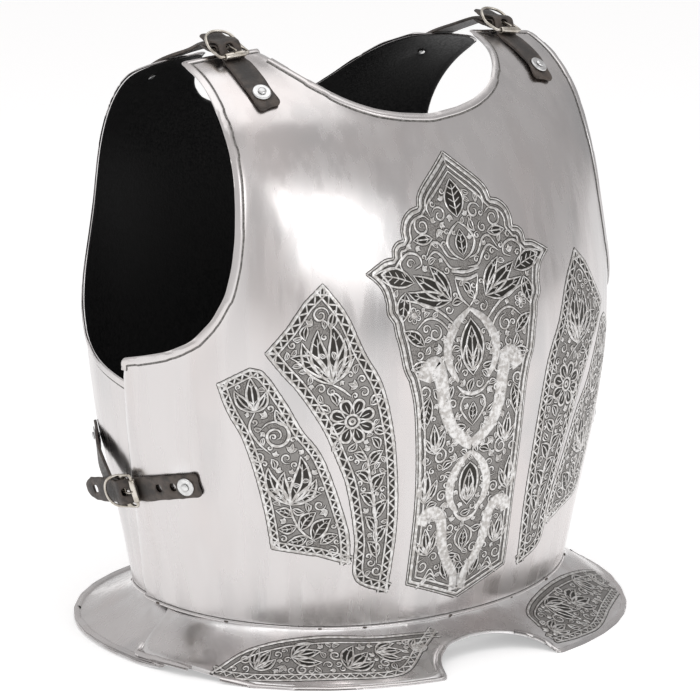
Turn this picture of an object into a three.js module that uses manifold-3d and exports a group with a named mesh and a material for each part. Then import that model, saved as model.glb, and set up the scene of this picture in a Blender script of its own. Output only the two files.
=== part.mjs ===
// A steel cuirass: breastplate, backplate and flared waist plates, joined by buckled leather straps.
// Millimetres. +Z is up, the chest faces -Y, and +X is the wearer's left. The origin is under the
// middle of the cuirass, on the surface that its lower rims stand on.

import * as THREE from 'three';
import { mergeVertices } from 'three/addons/utils/BufferGeometryUtils.js';
import Module from 'manifold-3d';

const wasm = await Module();
wasm.setup();

// ---------------------------------------------------------------- driving dimensions

const SHEET = 1.2; // thickness of the steel
const LAP = 1.5; // air between two lapped sheets
const HEM_WIDTH = 5.5; // turned edge at neck and armholes
const HEM_RISE = 0.9; // how far the turned edge stands proud
const BEAD_WIDTH = 3.4; // rolled rim of the waist plates
const BEAD_RISE = 1.2;
const STEP_WIDTH = 0.9; // slope between a turned edge and the plain sheet

const GIRTH_SCALE = 2.9; // mm of girth for one degree, on the flat pattern of a plate
const FLANGE = 12; // upright collar of a waist plate, inside the body plates
const RIM_HALF_WIDTH = 208; // waist plates at the rim, across
const RIM_FRONT_DEPTH = 187.9; // from the trunk's axis to the front waist plate's rim
const RIM_BACK_DEPTH = 184; // and to the back one's
const FRONT_END_ANGLE = 84; // where the front waist plate ends, measured from the front centre
const BACK_END_ANGLE = 107; // where the back waist plate ends, measured from the back centre
const NOTCH_HALF_WIDTH = 50;
const NOTCH_HEIGHT = 0.6; // as a share of the flare's run from waist to rim
const RIM_ROUND = 0.92; // power of the rounded rim, as at the waist
const END_RISE = 6; // the front waist plate's ends lift off the ground to lap over the back one
const END_INSET = 4; // and stand this far inside its rim
const RIM_FOOT = 2.6; // width of the flat under the rim, which the cuirass stands on
const BEND_BELOW = 2; // the front waist plate bends outwards this far under the breastplate
const BACK_BEND_BELOW = 4; // the back one bends lower, so that the front one laps over it

const LEATHER = 2.2;
const STRAP_WIDTH = 18.4;
const SLIT_WIDTH = 5; // holes and the prong's slot in the leather
const TIP_SHARE = 0.35; // width left at the end of a pointed strap
const TIP_LENGTH = 10;
const CLEARANCE = 0.4; // air under and between straps
const LEAST_ROW = 1.4; // no two rows of a strap's mesh are closer than this

const WIRE = 1.3; // radius of the buckle's wire
const FRAME_HALF_WIDTH = 11.6;
const FRAME_LENGTH = 30; // roller to far side of the D
const BAR_AT = 12; // centre bar, behind the roller
const ARCH = 5.2; // rise of the D's far side
const ROLLER_RADIUS = 2.9;
const ROLLER_BORE = 1.65;
const ROLLER_LENGTH = 18;
const PRONG = 0.9; // radius of the prong's wire
const ROLLER_LIFT = ROLLER_RADIUS + LEATHER + 2 * CLEARANCE; // roller's axis above the plate

const WASHER_RADIUS = 7.5;
const WASHER_THICKNESS = 1.0;
const WASHER_BORE = 2.3;
const RIVET_HEAD = 4.2;
const RIVET_SHANK = 1.6;
const RIVET_TAIL = 3.4;
const HOLE_HALF = 2.3; // half width of the square rivet holes in the sheet
const HOLE_ROOM = 5; // sheet kept undivided on each side of a rivet's middle

// ---------------------------------------------------------------- the form of the trunk

// Rings round the trunk. level runs up the front centre line in mm. side, front and back are
// distances from the axis, each with its own height, and round is the power of the rounded section.
const RINGS = [
  { level: 0, side: 173, sideZ: 28, front: 127, frontZ: 26, back: 123, backZ: 28, round: 0.92 },
  { level: 63, side: 184, sideZ: 89, front: 138.5, frontZ: 89, back: 131, backZ: 89, round: 0.9 },
  { level: 135, side: 198, sideZ: 160, front: 147, frontZ: 160, back: 141, backZ: 160, round: 0.88 },
  { level: 207, side: 204, sideZ: 232, front: 146, frontZ: 232, back: 148, backZ: 232, round: 0.86 },
  { level: 281, side: 202, sideZ: 300, front: 130.5, frontZ: 304, back: 146, backZ: 304, round: 0.82 },
  { level: 350, side: 199, sideZ: 353, front: 105, frontZ: 367, back: 125, backZ: 367, round: 0.77 },
  { level: 411, side: 193, sideZ: 390, front: 63, frontZ: 410, back: 75, backZ: 410, round: 0.75 },
  { level: 477, side: 182, sideZ: 408, front: 0, frontZ: 430, back: 0, backZ: 430, round: 0.75 },
];

// Outlines of the two body plates, half of each, as angle from the plate's own centre line and level.
const BREAST_SIDE = [
  { angle: 94.5, level: 6 },
  { angle: 91.5, level: 52 },
  { angle: 89, level: 108 },
  { angle: 87.3, level: 162 },
  { angle: 87, level: 192 },
];
const BREAST_ARM = [
  { angle: 87, level: 192 },
  { angle: 77, level: 199 },
  { angle: 67.6, level: 206.5 },
  { angle: 60.4, level: 219 },
  { angle: 53.5, level: 245 },
  { angle: 49.8, level: 280 },
  { angle: 47.8, level: 317 },
  { angle: 46.8, level: 347 },
  { angle: 47.4, level: 384 },
  { angle: 48.7, level: 423 },
  { angle: 51.6, level: 457 },
];
const BREAST_SHOULDER = [
  { angle: 51.6, level: 457 },
  { angle: 37, level: 459 },
  { angle: 23.5, level: 457 },
];
const BREAST_NECK = [
  { angle: 23.5, level: 457 },
  { angle: 22.7, level: 440 },
  { angle: 21, level: 423 },
  { angle: 18, level: 405 },
  { angle: 13.5, level: 387 },
  { angle: 7, level: 373 },
  { angle: 0, level: 366 },
];
const BACK_SIDE = [
  { angle: 99, level: 6 },
  { angle: 99.5, level: 60 },
  { angle: 100, level: 120 },
  { angle: 100, level: 171 },
];
const BACK_ARM = [
  { angle: 100, level: 171 },
  { angle: 90, level: 176 },
  { angle: 81.5, level: 182 },
  { angle: 74, level: 190 },
  { angle: 66, level: 208 },
  { angle: 56, level: 233 },
  { angle: 49.5, level: 257 },
  { angle: 45.3, level: 288 },
  { angle: 44.2, level: 327 },
  { angle: 44.5, level: 347 },
  { angle: 45.6, level: 372 },
  { angle: 48, level: 402 },
  { angle: 49.6, level: 419 },
];
const BACK_SHOULDER = [
  { angle: 49.6, level: 419 },
  { angle: 46, level: 430 },
  { angle: 36, level: 436 },
  { angle: 22.5, level: 434 },
];
const BACK_NECK = [
  { angle: 22.5, level: 434 },
  { angle: 19.5, level: 416 },
  { angle: 17, level: 398 },
  { angle: 14.5, level: 381 },
  { angle: 11.5, level: 364 },
  { angle: 6.5, level: 350 },
  { angle: 0, level: 344 },
];

const radians = THREE.MathUtils.degToRad;
const { smoothstep, lerp } = THREE.MathUtils;

// A natural cubic spline through (x, y) pairs, which also runs on past both ends.
function naturalSpline(xs, ys) {
  const last = xs.length - 1;
  const bend = new Array(xs.length).fill(0);
  const carry = new Array(xs.length).fill(0);
  for (let i = 1; i < last; i++) {
    const left = xs[i] - xs[i - 1];
    const right = xs[i + 1] - xs[i];
    const share = left / (left + right);
    const pivot = share * bend[i - 1] + 2;
    const slopes = (ys[i + 1] - ys[i]) / right - (ys[i] - ys[i - 1]) / left;
    bend[i] = (share - 1) / pivot;
    carry[i] = ((6 * slopes) / (left + right) - share * carry[i - 1]) / pivot;
  }
  const second = new Array(xs.length).fill(0);
  for (let i = last - 1; i > 0; i--) second[i] = bend[i] * second[i + 1] + carry[i];
  return (x) => {
    let k = 0;
    while (k < last - 1 && x > xs[k + 1]) k++;
    const run = xs[k + 1] - xs[k];
    const a = (xs[k + 1] - x) / run;
    const b = (x - xs[k]) / run;
    const curve = (a ** 3 - a) * second[k] + (b ** 3 - b) * second[k + 1];
    return a * ys[k] + b * ys[k + 1] + (curve * run * run) / 6;
  };
}

const ring = {};
for (const column of ['side', 'sideZ', 'front', 'frontZ', 'back', 'backZ', 'round']) {
  ring[column] = naturalSpline(
    RINGS.map((row) => row.level),
    RINGS.map((row) => row[column]),
  );
}

// A point of the trunk's surface. angle is 0 at the front centre, 90 at the wearer's left side
// and 180 at the back.
function formPoint(angle, level) {
  const sine = Math.sin(radians(angle));
  const cosine = Math.cos(radians(angle));
  const power = ring.round(level);
  const across = Math.sign(sine) * Math.abs(sine) ** power;
  const along = Math.abs(cosine) ** power;
  const depth = cosine >= 0 ? -ring.front(level) : ring.back(level);
  const height = cosine >= 0 ? ring.frontZ(level) : ring.backZ(level);
  const sideZ = ring.sideZ(level);
  return new THREE.Vector3(ring.side(level) * across, depth * along, lerp(sideZ, height, along));
}

// How the surface point moves for one degree of angle and for one millimetre of level.
function formSlopes(angle, level) {
  const turn = formPoint(angle + 0.5, level).sub(formPoint(angle - 0.5, level));
  const rise = formPoint(angle, level + 0.5).sub(formPoint(angle, level - 0.5));
  return { turn, rise };
}

function formNormal(angle, level) {
  const { turn, rise } = formSlopes(angle, level);
  return turn.cross(rise).normalize();
}

// ---------------------------------------------------------------- sheets of steel and leather

// A sheet is a list of four-sided cells, each corner a pair of points on its two faces.
// Corners run counter-clockwise as seen from the outer face. Open edges get a wall.
function sheetGeometry(cells) {
  const places = new Map();
  const outer = [];
  const inner = [];
  const number = (corner) => {
    const key = corner.outer.toArray().map((value) => Math.round(value * 200)).join();
    if (!places.has(key)) {
      places.set(key, outer.length);
      outer.push(corner.outer);
      inner.push(corner.inner);
    }
    return places.get(key);
  };
  const faces = [];
  const edges = new Set();
  for (const cell of cells) {
    const at = cell.map(number);
    const short = outer[at[0]].distanceTo(outer[at[2]]) < outer[at[1]].distanceTo(outer[at[3]]);
    const turned = short ? [at[1], at[2], at[3], at[0]] : at;
    faces.push([turned[0], turned[1], turned[2]], [turned[0], turned[2], turned[3]]);
    at.forEach((from, i) => edges.add(`${from} ${at[(i + 1) % 4]}`));
  }
  const count = outer.length;
  const index = [];
  for (const [a, b, c] of faces) index.push(a, b, c, count + a, count + c, count + b);
  for (const edge of edges) {
    const [a, b] = edge.split(' ').map(Number);
    if (edges.has(`${b} ${a}`)) continue;
    index.push(b, a, count + a, b, count + a, count + b);
  }
  const geometry = new THREE.BufferGeometry().setFromPoints([...outer, ...inner]);
  geometry.setIndex(index);
  return geometry;
}

// The same cells on the other side of the body.
function mirrorCells(cells) {
  const flip = (point) => new THREE.Vector3(-point.x, point.y, point.z);
  const corner = (pair) => ({ outer: flip(pair.outer), inner: flip(pair.inner) });
  return cells.map((cell) => cell.map(corner).reverse());
}

// ---------------------------------------------------------------- body plates

const patternPoint = ({ angle, level }) => new THREE.Vector2(angle * GIRTH_SCALE, level);
const outlineCurve = (rows) => new THREE.SplineCurve(rows.map(patternPoint));

// The corners of a square of the lattice, counter-clockwise.
const SQUARE = [
  { right: 0, up: 0 },
  { right: 1, up: 0 },
  { right: 1, up: 1 },
  { right: 0, up: 1 },
];

// Points along a curve between two shares of its length.
function walk(curve, from, to, steps) {
  return Array.from({ length: steps + 1 }, (_, i) => curve.getPointAt(lerp(from, to, i / steps)));
}

// The lattice of half a body plate. Column 0 is the centre line and row 0 the waist. The side
// columns stop at the armhole and the centre columns at the neck. Each rivet hole gets a square to
// itself.
function plateLattice(plan, holes) {
  const { columns, rows, armColumn, armRow, neckColumn, neckRow, armTurn, neckTurn } = plan;
  const nodes = new Map();
  const fixed = [];
  const put = (column, row, point) => {
    nodes.set(`${column} ${row}`, point);
    fixed.push({ column, row });
  };
  const side = outlineCurve(plan.side);
  const arm = outlineCurve(plan.arm);
  const shoulder = outlineCurve(plan.shoulder);
  const neck = outlineCurve(plan.neck);
  const centreTop = neck.getPoint(1);
  const waist = (share) => {
    const angle = (share * side.getPoint(0).x) / GIRTH_SCALE;
    return patternPoint({ angle, level: waistLevel(angle) });
  };
  for (let i = 0; i < columns; i++) put(i, 0, waist(i / columns));
  walk(side, 0, 1, armRow).slice(0, -1).forEach((p, i) => put(columns, i, p));
  walk(arm, 0, armTurn, columns - armColumn).slice(0, -1).forEach((p, i) => put(columns - i, armRow, p));
  walk(arm, armTurn, 1, rows - armRow).slice(0, -1).forEach((p, i) => put(armColumn, armRow + i, p));
  walk(shoulder, 0, 1, armColumn - neckColumn).slice(0, -1).forEach((p, i) => put(armColumn - i, rows, p));
  walk(neck, 0, neckTurn, rows - neckRow).slice(0, -1).forEach((p, i) => put(neckColumn, rows - i, p));
  walk(neck, neckTurn, 1, neckColumn).forEach((p, i) => put(neckColumn - i, neckRow, p));
  const rim = fixed.map((node) => ({ ...node, key: `${node.column} ${node.row}` }));
  for (let row = 1; row < neckRow; row++) {
    put(0, row, new THREE.Vector2(0, lerp(waist(0).y, centreTop.y, row / neckRow)));
  }
  const free = [];
  const inside = (column, row) => {
    if (row <= armRow) return column <= columns;
    if (row <= neckRow) return column <= armColumn;
    return column <= armColumn && column >= neckColumn;
  };
  for (let row = 0; row <= rows; row++) {
    for (let column = 0; column <= columns; column++) {
      const key = `${column} ${row}`;
      if (!inside(column, row) || nodes.has(key)) continue;
      nodes.set(key, new THREE.Vector2((column * 250) / columns, (row * 440) / rows));
      free.push({ column, row });
    }
  }
  const squares = [];
  for (let row = 0; row < rows; row++) {
    for (let column = 0; column < columns; column++) {
      const corners = SQUARE.map(({ right, up }) => [column + right, row + up]);
      if (!corners.every(([c, r]) => inside(c, r))) continue;
      squares.push({ keys: corners.map((at) => at.join(' ')) });
    }
  }
  const pinned = new Set();
  relax(nodes, free, pinned);
  const freeKeys = new Set(free.map(({ column, row }) => `${column} ${row}`));
  const mean = ({ keys }) => meanPoint(keys.map((key) => nodes.get(key)));
  for (const hole of holes) {
    const choice = squares.filter(({ keys }) => keys.every((key) => freeKeys.has(key)));
    choice.sort((a, b) => mean(a).distanceTo(hole) - mean(b).distanceTo(hole));
    choice[0].hole = hole;
    choice[0].keys.forEach((key, i) => {
      const point = nodes.get(key);
      point.x = pushedOut(point.x, hole.x, SQUARE[i].right);
      point.y = pushedOut(point.y, hole.y, SQUARE[i].up);
      pinned.add(key);
    });
  }
  relax(nodes, free, pinned);
  return { nodes, rim, squares };
}

function meanPoint(points) {
  const sum = new THREE.Vector2();
  points.forEach((p) => sum.add(p));
  return sum.divideScalar(points.length);
}

// Evens out the lattice: each free node moves to the middle of its four neighbours.
function relax(nodes, free, pinned) {
  const PASSES = 400;
  for (let pass = 0; pass < PASSES; pass++) {
    for (const { column, row } of free) {
      const key = `${column} ${row}`;
      if (pinned.has(key)) continue;
      const sides = [`${column - 1} ${row}`, `${column + 1} ${row}`];
      const ends = [`${column} ${row - 1}`, `${column} ${row + 1}`];
      nodes.get(key).copy(meanPoint([...sides, ...ends].map((at) => nodes.get(at))));
    }
  }
}

// One coordinate of a square's corner, kept clear of the hole in the square.
function pushedOut(value, hole, far) {
  return far ? Math.max(value, hole + HOLE_ROOM) : Math.min(value, hole - HOLE_ROOM);
}

function waistLevel(angle) {
  return -3 + 9 * Math.sin(radians(angle)) ** 2;
}

// The pattern point that lies a given distance in from the rim node, square to the rim.
function insetPoint(surface, before, here, after, distance) {
  const { point, normal, turn, rise } = surface(here);
  const inward = (from, to) => normal.clone().cross(to.clone().sub(from)).normalize();
  const first = inward(surface(before).point, point);
  const step = inward(point, surface(after).point).add(first);
  step.multiplyScalar((2 * distance) / step.lengthSq());
  const [tt, tr, rr] = [turn.dot(turn), turn.dot(rise), rise.dot(rise)];
  const [ts, rs] = [turn.dot(step), rise.dot(step)];
  const det = tt * rr - tr * tr;
  const move = new THREE.Vector2((ts * rr - rs * tr) / det, (rs * tt - ts * tr) / det);
  return move.add(here);
}

// The surface at a pattern point: where it is, how it runs, and its normal. step is the pattern
// distance that the slopes are measured over.
function surfaceOf(map, step) {
  return (p) => {
    const slope = (dx, dy) => {
      const ahead = map(p.x + dx, p.y + dy);
      return ahead.sub(map(p.x - dx, p.y - dy)).divideScalar(2 * Math.max(dx, dy));
    };
    const turn = slope(step.x, 0);
    const rise = slope(0, step.y);
    return { point: map(p.x, p.y), turn, rise, normal: turn.clone().cross(rise).normalize() };
  };
}

// Half a plate from its lattice: a strip round the rim whose two lines are lifted where the edge
// is turned, the squares inside it, rivet holes, and then the mirrored half.
function edgedPlate({ lattice, surface, place, widths, turned, reverse }) {
  const { nodes, rim, squares } = lattice;
  const line = rim.map(({ key }) => nodes.get(key).clone());
  const last = line.length - 1;
  const flip = (p) => new THREE.Vector2(-p.x, p.y);
  const insets = widths.map((distance) =>
    line.map((here, i) => {
      const before = i > 0 ? line[i - 1] : flip(line[1]);
      const after = i < last ? line[i + 1] : flip(line[last - 1]);
      return insetPoint(surface, before, here, after, distance);
    }),
  );
  rim.forEach(({ key }, i) => nodes.get(key).copy(insets[2][i]));
  const strips = insets.map((points, k) => points.map((p, i) => place(p, turned(rim[i]) ? k : 2)));
  const cells = [];
  for (let i = 0; i < last; i++) {
    cells.push([strips[0][i], strips[0][i + 1], strips[1][i + 1], strips[1][i]]);
    cells.push([strips[1][i], strips[1][i + 1], strips[2][i + 1], strips[2][i]]);
  }
  for (const { keys, hole } of squares) {
    const corners = keys.map((key) => nodes.get(key));
    if (!hole) {
      cells.push(corners.map((p) => place(p, 2)));
      continue;
    }
    const lip = SQUARE.map(({ right, up }) => {
      return new THREE.Vector2(2 * right - 1, 2 * up - 1).multiplyScalar(HOLE_HALF).add(hole);
    });
    corners.forEach((p, i) => {
      const next = (i + 1) % 4;
      cells.push([p, corners[next], lip[next], lip[i]].map((q) => place(q, 2)));
    });
  }
  const half = reverse ? cells.map((cell) => cell.slice().reverse()) : cells;
  return sheetGeometry([...half, ...mirrorCells(half)]);
}

// One body plate. back turns the plan to the rear, and drop is how far its outer face lies
// under the form.
function bodyPlate({ plan, back, drop, holes }) {
  const trunk = (x) => (back ? 180 - x / GIRTH_SCALE : x / GIRTH_SCALE);
  const map = (x, y) => formPoint(trunk(x), y);
  const place = (p, strip) => {
    const normal = formNormal(trunk(p.x), p.y);
    const outer = map(p.x, p.y).addScaledVector(normal, (strip < 2 ? HEM_RISE : 0) - drop);
    const inner = map(p.x, p.y).addScaledVector(normal, -drop - SHEET);
    return { outer, inner };
  };
  const turned = ({ column, row }) => {
    const arm = column >= plan.armColumn && row >= plan.armRow;
    const neck = column <= plan.neckColumn && row >= plan.neckRow;
    return arm || neck;
  };
  return edgedPlate({
    lattice: plateLattice(plan, holes.map(patternPoint)),
    surface: surfaceOf(map, { x: 1, y: 1 }),
    place,
    widths: [0, HEM_WIDTH, HEM_WIDTH + STEP_WIDTH],
    turned,
    reverse: back,
  });
}

// ---------------------------------------------------------------- waist plates

// A waist plate runs from the top of its collar, at run -1, over the bend at run 0, to the rim at 1.
function waistPlate({ back, endAngle, columns, notchColumns, flareRows, drop, bendBelow, rimZ, rimIn }) {
  const trunk = (angle) => (back ? 180 - angle : angle);
  const middle = (x, run) => {
    const angle = x / GIRTH_SCALE;
    const bendLevel = waistLevel(angle) - bendBelow;
    const level = bendLevel + FLANGE * Math.max(-run, 0);
    const depth = drop(Math.abs(angle)) + SHEET / 2;
    const normal = formNormal(trunk(angle), level);
    const collar = formPoint(trunk(angle), level).addScaledVector(normal, -depth);
    return run > 0 ? collar.lerp(rimPoint(angle), run) : collar;
  };
  const rimPoint = (angle) => {
    const across = Math.abs(Math.sin(radians(angle))) ** RIM_ROUND * Math.sign(angle);
    const along = Math.sign(90 - Math.abs(angle)) * Math.abs(Math.cos(radians(angle))) ** RIM_ROUND;
    const inside = rimIn(Math.abs(angle));
    const x = (RIM_HALF_WIDTH - inside) * across;
    const y = (back ? RIM_BACK_DEPTH : inside - RIM_FRONT_DEPTH) * along;
    return new THREE.Vector3(x, y, rimZ(Math.abs(angle)));
  };
  const slopes = surfaceOf(middle, { x: 1, y: 0.04 });
  const surface = (p) => {
    const at = slopes(p);
    at.normal.negate(); // run grows downwards, the other way from level
    return at;
  };
  const up = (p) => surface(p).normal.multiplyScalar(back ? -1 : 1);
  const place = (p, strip) => {
    const point = middle(p.x, p.y);
    const normal = up(p);
    if (strip === 0 && p.y > 0.999) {
      const out = new THREE.Vector3(normal.x, normal.y, 0).setLength(RIM_FOOT / 2);
      return { outer: point.clone().add(out), inner: point.clone().sub(out) };
    }
    const rise = strip < 2 ? BEAD_RISE : 0;
    const outer = point.clone().addScaledVector(normal, SHEET / 2 + rise);
    return { outer, inner: point.clone().addScaledVector(normal, -SHEET / 2) };
  };
  const nodes = new Map();
  const rows = 1 + flareRows;
  const ends = Array.from({ length: columns + 1 }, (_, column) => {
    if (column > notchColumns) {
      const first = columnAngle(NOTCH_HALF_WIDTH, RIM_HALF_WIDTH);
      const share = (column - notchColumns) / (columns - notchColumns);
      return { angle: lerp(notchColumns ? first : 0, endAngle, share), run: 1 };
    }
    if (!notchColumns) return { angle: 0, run: 1 };
    const turn = radians(90 * (1 - column / notchColumns));
    const run = 1 - NOTCH_HEIGHT * Math.sin(turn);
    const halfWidth = lerp(RINGS[0].side, RIM_HALF_WIDTH, run);
    return { angle: columnAngle(NOTCH_HALF_WIDTH * Math.cos(turn), halfWidth), run };
  });
  ends.forEach(({ angle, run }, column) => {
    for (let row = 0; row <= rows; row++) {
      const at = row === 0 ? -1 : (run * (row - 1)) / flareRows;
      nodes.set(`${column} ${row}`, new THREE.Vector2(angle * GIRTH_SCALE, at));
    }
  });
  const rim = [];
  for (let i = 0; i < columns; i++) rim.push({ column: i, row: rows });
  for (let i = rows; i > 0; i--) rim.push({ column: columns, row: i });
  for (let i = columns; i >= 0; i--) rim.push({ column: i, row: 0 });
  rim.forEach((node) => (node.key = `${node.column} ${node.row}`));
  const squares = [];
  for (let row = 0; row < rows; row++) {
    for (let column = 0; column < columns; column++) {
      const keys = SQUARE.map(({ right, up: level }) => `${column + right} ${row + 1 - level}`);
      squares.push({ keys });
    }
  }
  return edgedPlate({
    lattice: { nodes, rim, squares },
    surface,
    place,
    widths: [0, BEAD_WIDTH, BEAD_WIDTH + STEP_WIDTH],
    turned: ({ row }) => row === rows,
    reverse: back,
  });
}

// The angle at which a section of the given half width is x across.
function columnAngle(x, halfWidth) {
  return THREE.MathUtils.radToDeg(Math.asin((x / halfWidth) ** (1 / RIM_ROUND)));
}

// ---------------------------------------------------------------- straps

// A seat is a place on the form for a rivet or buckle: z out of the plate, y along the strap
// towards the back, x across the strap.
function seatOn(angle, level, lift, towards) {
  const origin = formPoint(angle, level);
  const z = formNormal(angle, level);
  const y = formPoint(towards.angle, towards.level).sub(origin);
  y.addScaledVector(z, -y.dot(z)).normalize();
  const x = y.clone().cross(z);
  return new THREE.Matrix4().makeBasis(x, y, z).setPosition(origin.addScaledVector(z, lift));
}

// The stations of a strap that lies on the form, each a point with the form's normal.
function onForm(rows) {
  return rows.map(({ angle, level, lift }) => {
    const normal = formNormal(angle, level);
    return { point: formPoint(angle, level).addScaledVector(normal, lift), normal };
  });
}

// The stations of a strap inside its buckle, in the middle plane of the seat.
function atBuckle(seat, rows) {
  const across = new THREE.Vector3().setFromMatrixColumn(seat, 0);
  return rows.map(({ along, up }) => {
    const point = new THREE.Vector3(0, along, up).applyMatrix4(seat);
    return { point, across };
  });
}

// A strap through its stations. Each slit is a pair of station numbers with a reach past both.
// The last rows of a pointed strap narrow to its tip.
function strapGeometry(stations, slits, pointed) {
  const last = stations.length - 1;
  const acrossAt = stations.map(({ across, normal }, i) => {
    if (across) return across;
    const from = stations[Math.max(i - 1, 0)].point;
    const to = stations[Math.min(i + 1, last)].point;
    return to.clone().sub(from).cross(normal).normalize();
  });
  const curve = new THREE.CatmullRomCurve3(stations.map(({ point }) => point), false, 'centripetal');
  const FINE = 600;
  curve.arcLengthDivisions = FINE;
  const lengths = curve.getLengths(FINE);
  const total = lengths[FINE];
  const lengthAt = (station) => lengths[Math.round((FINE * station) / last)];
  const gaps = slits.map(({ first, end, reach }) => [lengthAt(first) - reach, lengthAt(end) + reach]);
  const sharp = [0, total, ...gaps.flat()];
  if (pointed) sharp.push(total - TIP_LENGTH);
  const clear = (length) => sharp.every((edge) => Math.abs(edge - length) > LEAST_ROW);
  const soft = stations.map((_, i) => lengthAt(i)).filter(clear);
  const rows = [...sharp, ...soft].sort((a, b) => a - b);
  const lines = rows.map((length) => {
    const t = curve.getUtoTmapping(length / total);
    const place = Math.min(Math.floor(t * last), last - 1);
    const across = acrossAt[place].clone().lerp(acrossAt[place + 1], t * last - place);
    const tangent = curve.getTangent(t);
    const out = across.clone().cross(tangent).normalize().multiplyScalar(LEATHER / 2);
    const side = tangent.clone().cross(out).normalize();
    const half = (pointed && length === total ? TIP_SHARE : 1) * (STRAP_WIDTH / 2);
    const slit = Math.min(SLIT_WIDTH / 2, half / 2);
    return [-half, -slit, slit, half].map((x) => {
      const point = curve.getPoint(t).addScaledVector(side, x);
      return { outer: point.clone().add(out), inner: point.clone().sub(out) };
    });
  });
  const cells = [];
  for (let i = 0; i + 1 < lines.length; i++) {
    const middle = (rows[i] + rows[i + 1]) / 2;
    const open = gaps.some(([from, to]) => middle > from && middle < to);
    for (const column of open ? [0, 2] : [0, 1, 2]) {
      cells.push([lines[i][column], lines[i][column + 1], lines[i + 1][column + 1], lines[i + 1][column]]);
    }
  }
  return cells;
}

// How a riveted strap runs through its buckle: under the roller, over the bar, under the D.
const BILLET_WEAVE = [
  { along: -8, up: -4.6 },
  { along: 0, up: -4.4 },
  { along: 3.6, up: -2.9 },
  { along: 5.6, up: 0 },
  { along: 7.3, up: 2.9 },
  { along: 9.6, up: 5.1 },
  { along: 12.6, up: 5.5 },
  { along: 18, up: 3.2 },
  { along: 24, up: 1.2 },
  { along: 30, up: 1.0 },
];
const PRONG_HOLE = 4; // row of the weave that the prong comes up through

// How the buckle's own strap folds round the bar, from the end of its under layer.
const CHAPE_FOLD = [
  { along: 34, up: -4.4 },
  { along: 24, up: -4.1 },
  { along: 17, up: -3.3 },
  { along: 12, up: -2.9 },
  { along: 9.9, up: -2.0 },
  { along: 9.1, up: 0 },
  { along: 9.9, up: 2.0 },
  { along: 12, up: 2.9 },
  { along: 17, up: 1.1 },
  { along: 23, up: -1.4 },
  { along: 30, up: -1.7 },
];
const FOLD_SLOT = { first: 2, end: 8, reach: 0 };

// ---------------------------------------------------------------- buckles and rivets

// A tube of few sides along points. Its sections stay square to the path, with one side up.
function tubeGeometry(points, radius, sides, closed) {
  const count = points.length;
  const rings = points.map((point, i) => {
    const from = points[closed ? (i + count - 1) % count : Math.max(i - 1, 0)];
    const to = points[closed ? (i + 1) % count : Math.min(i + 1, count - 1)];
    const tangent = to.clone().sub(from).normalize();
    const level = closed || Math.abs(tangent.x) > 0.7;
    const reference = level ? new THREE.Vector3(0, 0, 1) : new THREE.Vector3(1, 0, 0);
    const side = reference.clone().cross(tangent).normalize();
    const up = tangent.clone().cross(side);
    return Array.from({ length: sides }, (_, k) => {
      const turn = (2 * Math.PI * (k + 0.5)) / sides;
      const aside = point.clone().addScaledVector(side, radius * Math.cos(turn));
      return aside.addScaledVector(up, radius * Math.sin(turn));
    });
  });
  const index = [];
  const spans = closed ? count : count - 1;
  for (let i = 0; i < spans; i++) {
    for (let k = 0; k < sides; k++) {
      const a = i * sides + k;
      const b = i * sides + ((k + 1) % sides);
      const c = ((i + 1) % count) * sides + ((k + 1) % sides);
      const d = ((i + 1) % count) * sides + k;
      index.push(a, b, c, a, c, d);
    }
  }
  if (!closed) {
    for (let k = 1; k + 1 < sides; k++) {
      index.push(0, k + 1, k);
      const end = spans * sides;
      index.push(end, end + k, end + k + 1);
    }
  }
  const geometry = new THREE.BufferGeometry().setFromPoints(rings.flat());
  geometry.setIndex(index);
  return geometry;
}

function toManifold(geometry) {
  const plain = geometry.clone();
  plain.deleteAttribute('normal');
  plain.deleteAttribute('uv');
  const merged = mergeVertices(plain, 1e-4);
  const vertProperties = new Float32Array(merged.attributes.position.array);
  const triVerts = new Uint32Array(merged.index.array);
  return new wasm.Manifold(new wasm.Mesh({ numProp: 3, vertProperties, triVerts }));
}

function fromManifold(solid) {
  const mesh = solid.getMesh();
  const geometry = new THREE.BufferGeometry();
  geometry.setAttribute('position', new THREE.BufferAttribute(mesh.vertProperties, 3));
  geometry.setIndex(new THREE.BufferAttribute(mesh.triVerts, 1));
  return geometry;
}

// The D-shaped wire frame with its centre bar, in the seat's axes: roller at y 0, D to the rear.
function frameGeometry() {
  const w = FRAME_HALF_WIDTH;
  const at = (x, y, z) => new THREE.Vector3(x, y, z);
  const path = new THREE.CurvePath();
  const corner = 2.4;
  const sideEnd = BAR_AT + 2;
  path.add(new THREE.LineCurve3(at(-w + corner, 0, 0), at(w - corner, 0, 0)));
  path.add(new THREE.QuadraticBezierCurve3(at(w - corner, 0, 0), at(w, 0, 0), at(w, corner, 0)));
  path.add(new THREE.LineCurve3(at(w, corner, 0), at(w, sideEnd, 0)));
  const dLeft = [
    at(w, sideEnd, 0),
    at(w + 1.1, sideEnd + 7, ARCH - 0.4),
    at(w * 0.8, FRAME_LENGTH, ARCH),
    at(0, FRAME_LENGTH, ARCH),
  ];
  path.add(new THREE.CubicBezierCurve3(...dLeft));
  const mirrored = dLeft.map((p) => at(-p.x, p.y, p.z)).reverse();
  path.add(new THREE.CubicBezierCurve3(...mirrored));
  path.add(new THREE.LineCurve3(at(-w, sideEnd, 0), at(-w, corner, 0)));
  path.add(new THREE.QuadraticBezierCurve3(at(-w, corner, 0), at(-w, 0, 0), at(-w + corner, 0, 0)));
  const points = path.getPoints(3).slice(0, -1);
  const loop = toManifold(tubeGeometry(points, WIRE, 6, true));
  const bar = tubeGeometry([at(-w, BAR_AT, 0), at(w, BAR_AT, 0)], WIRE, 6, false);
  return fromManifold(loop.add(toManifold(bar)));
}

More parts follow.
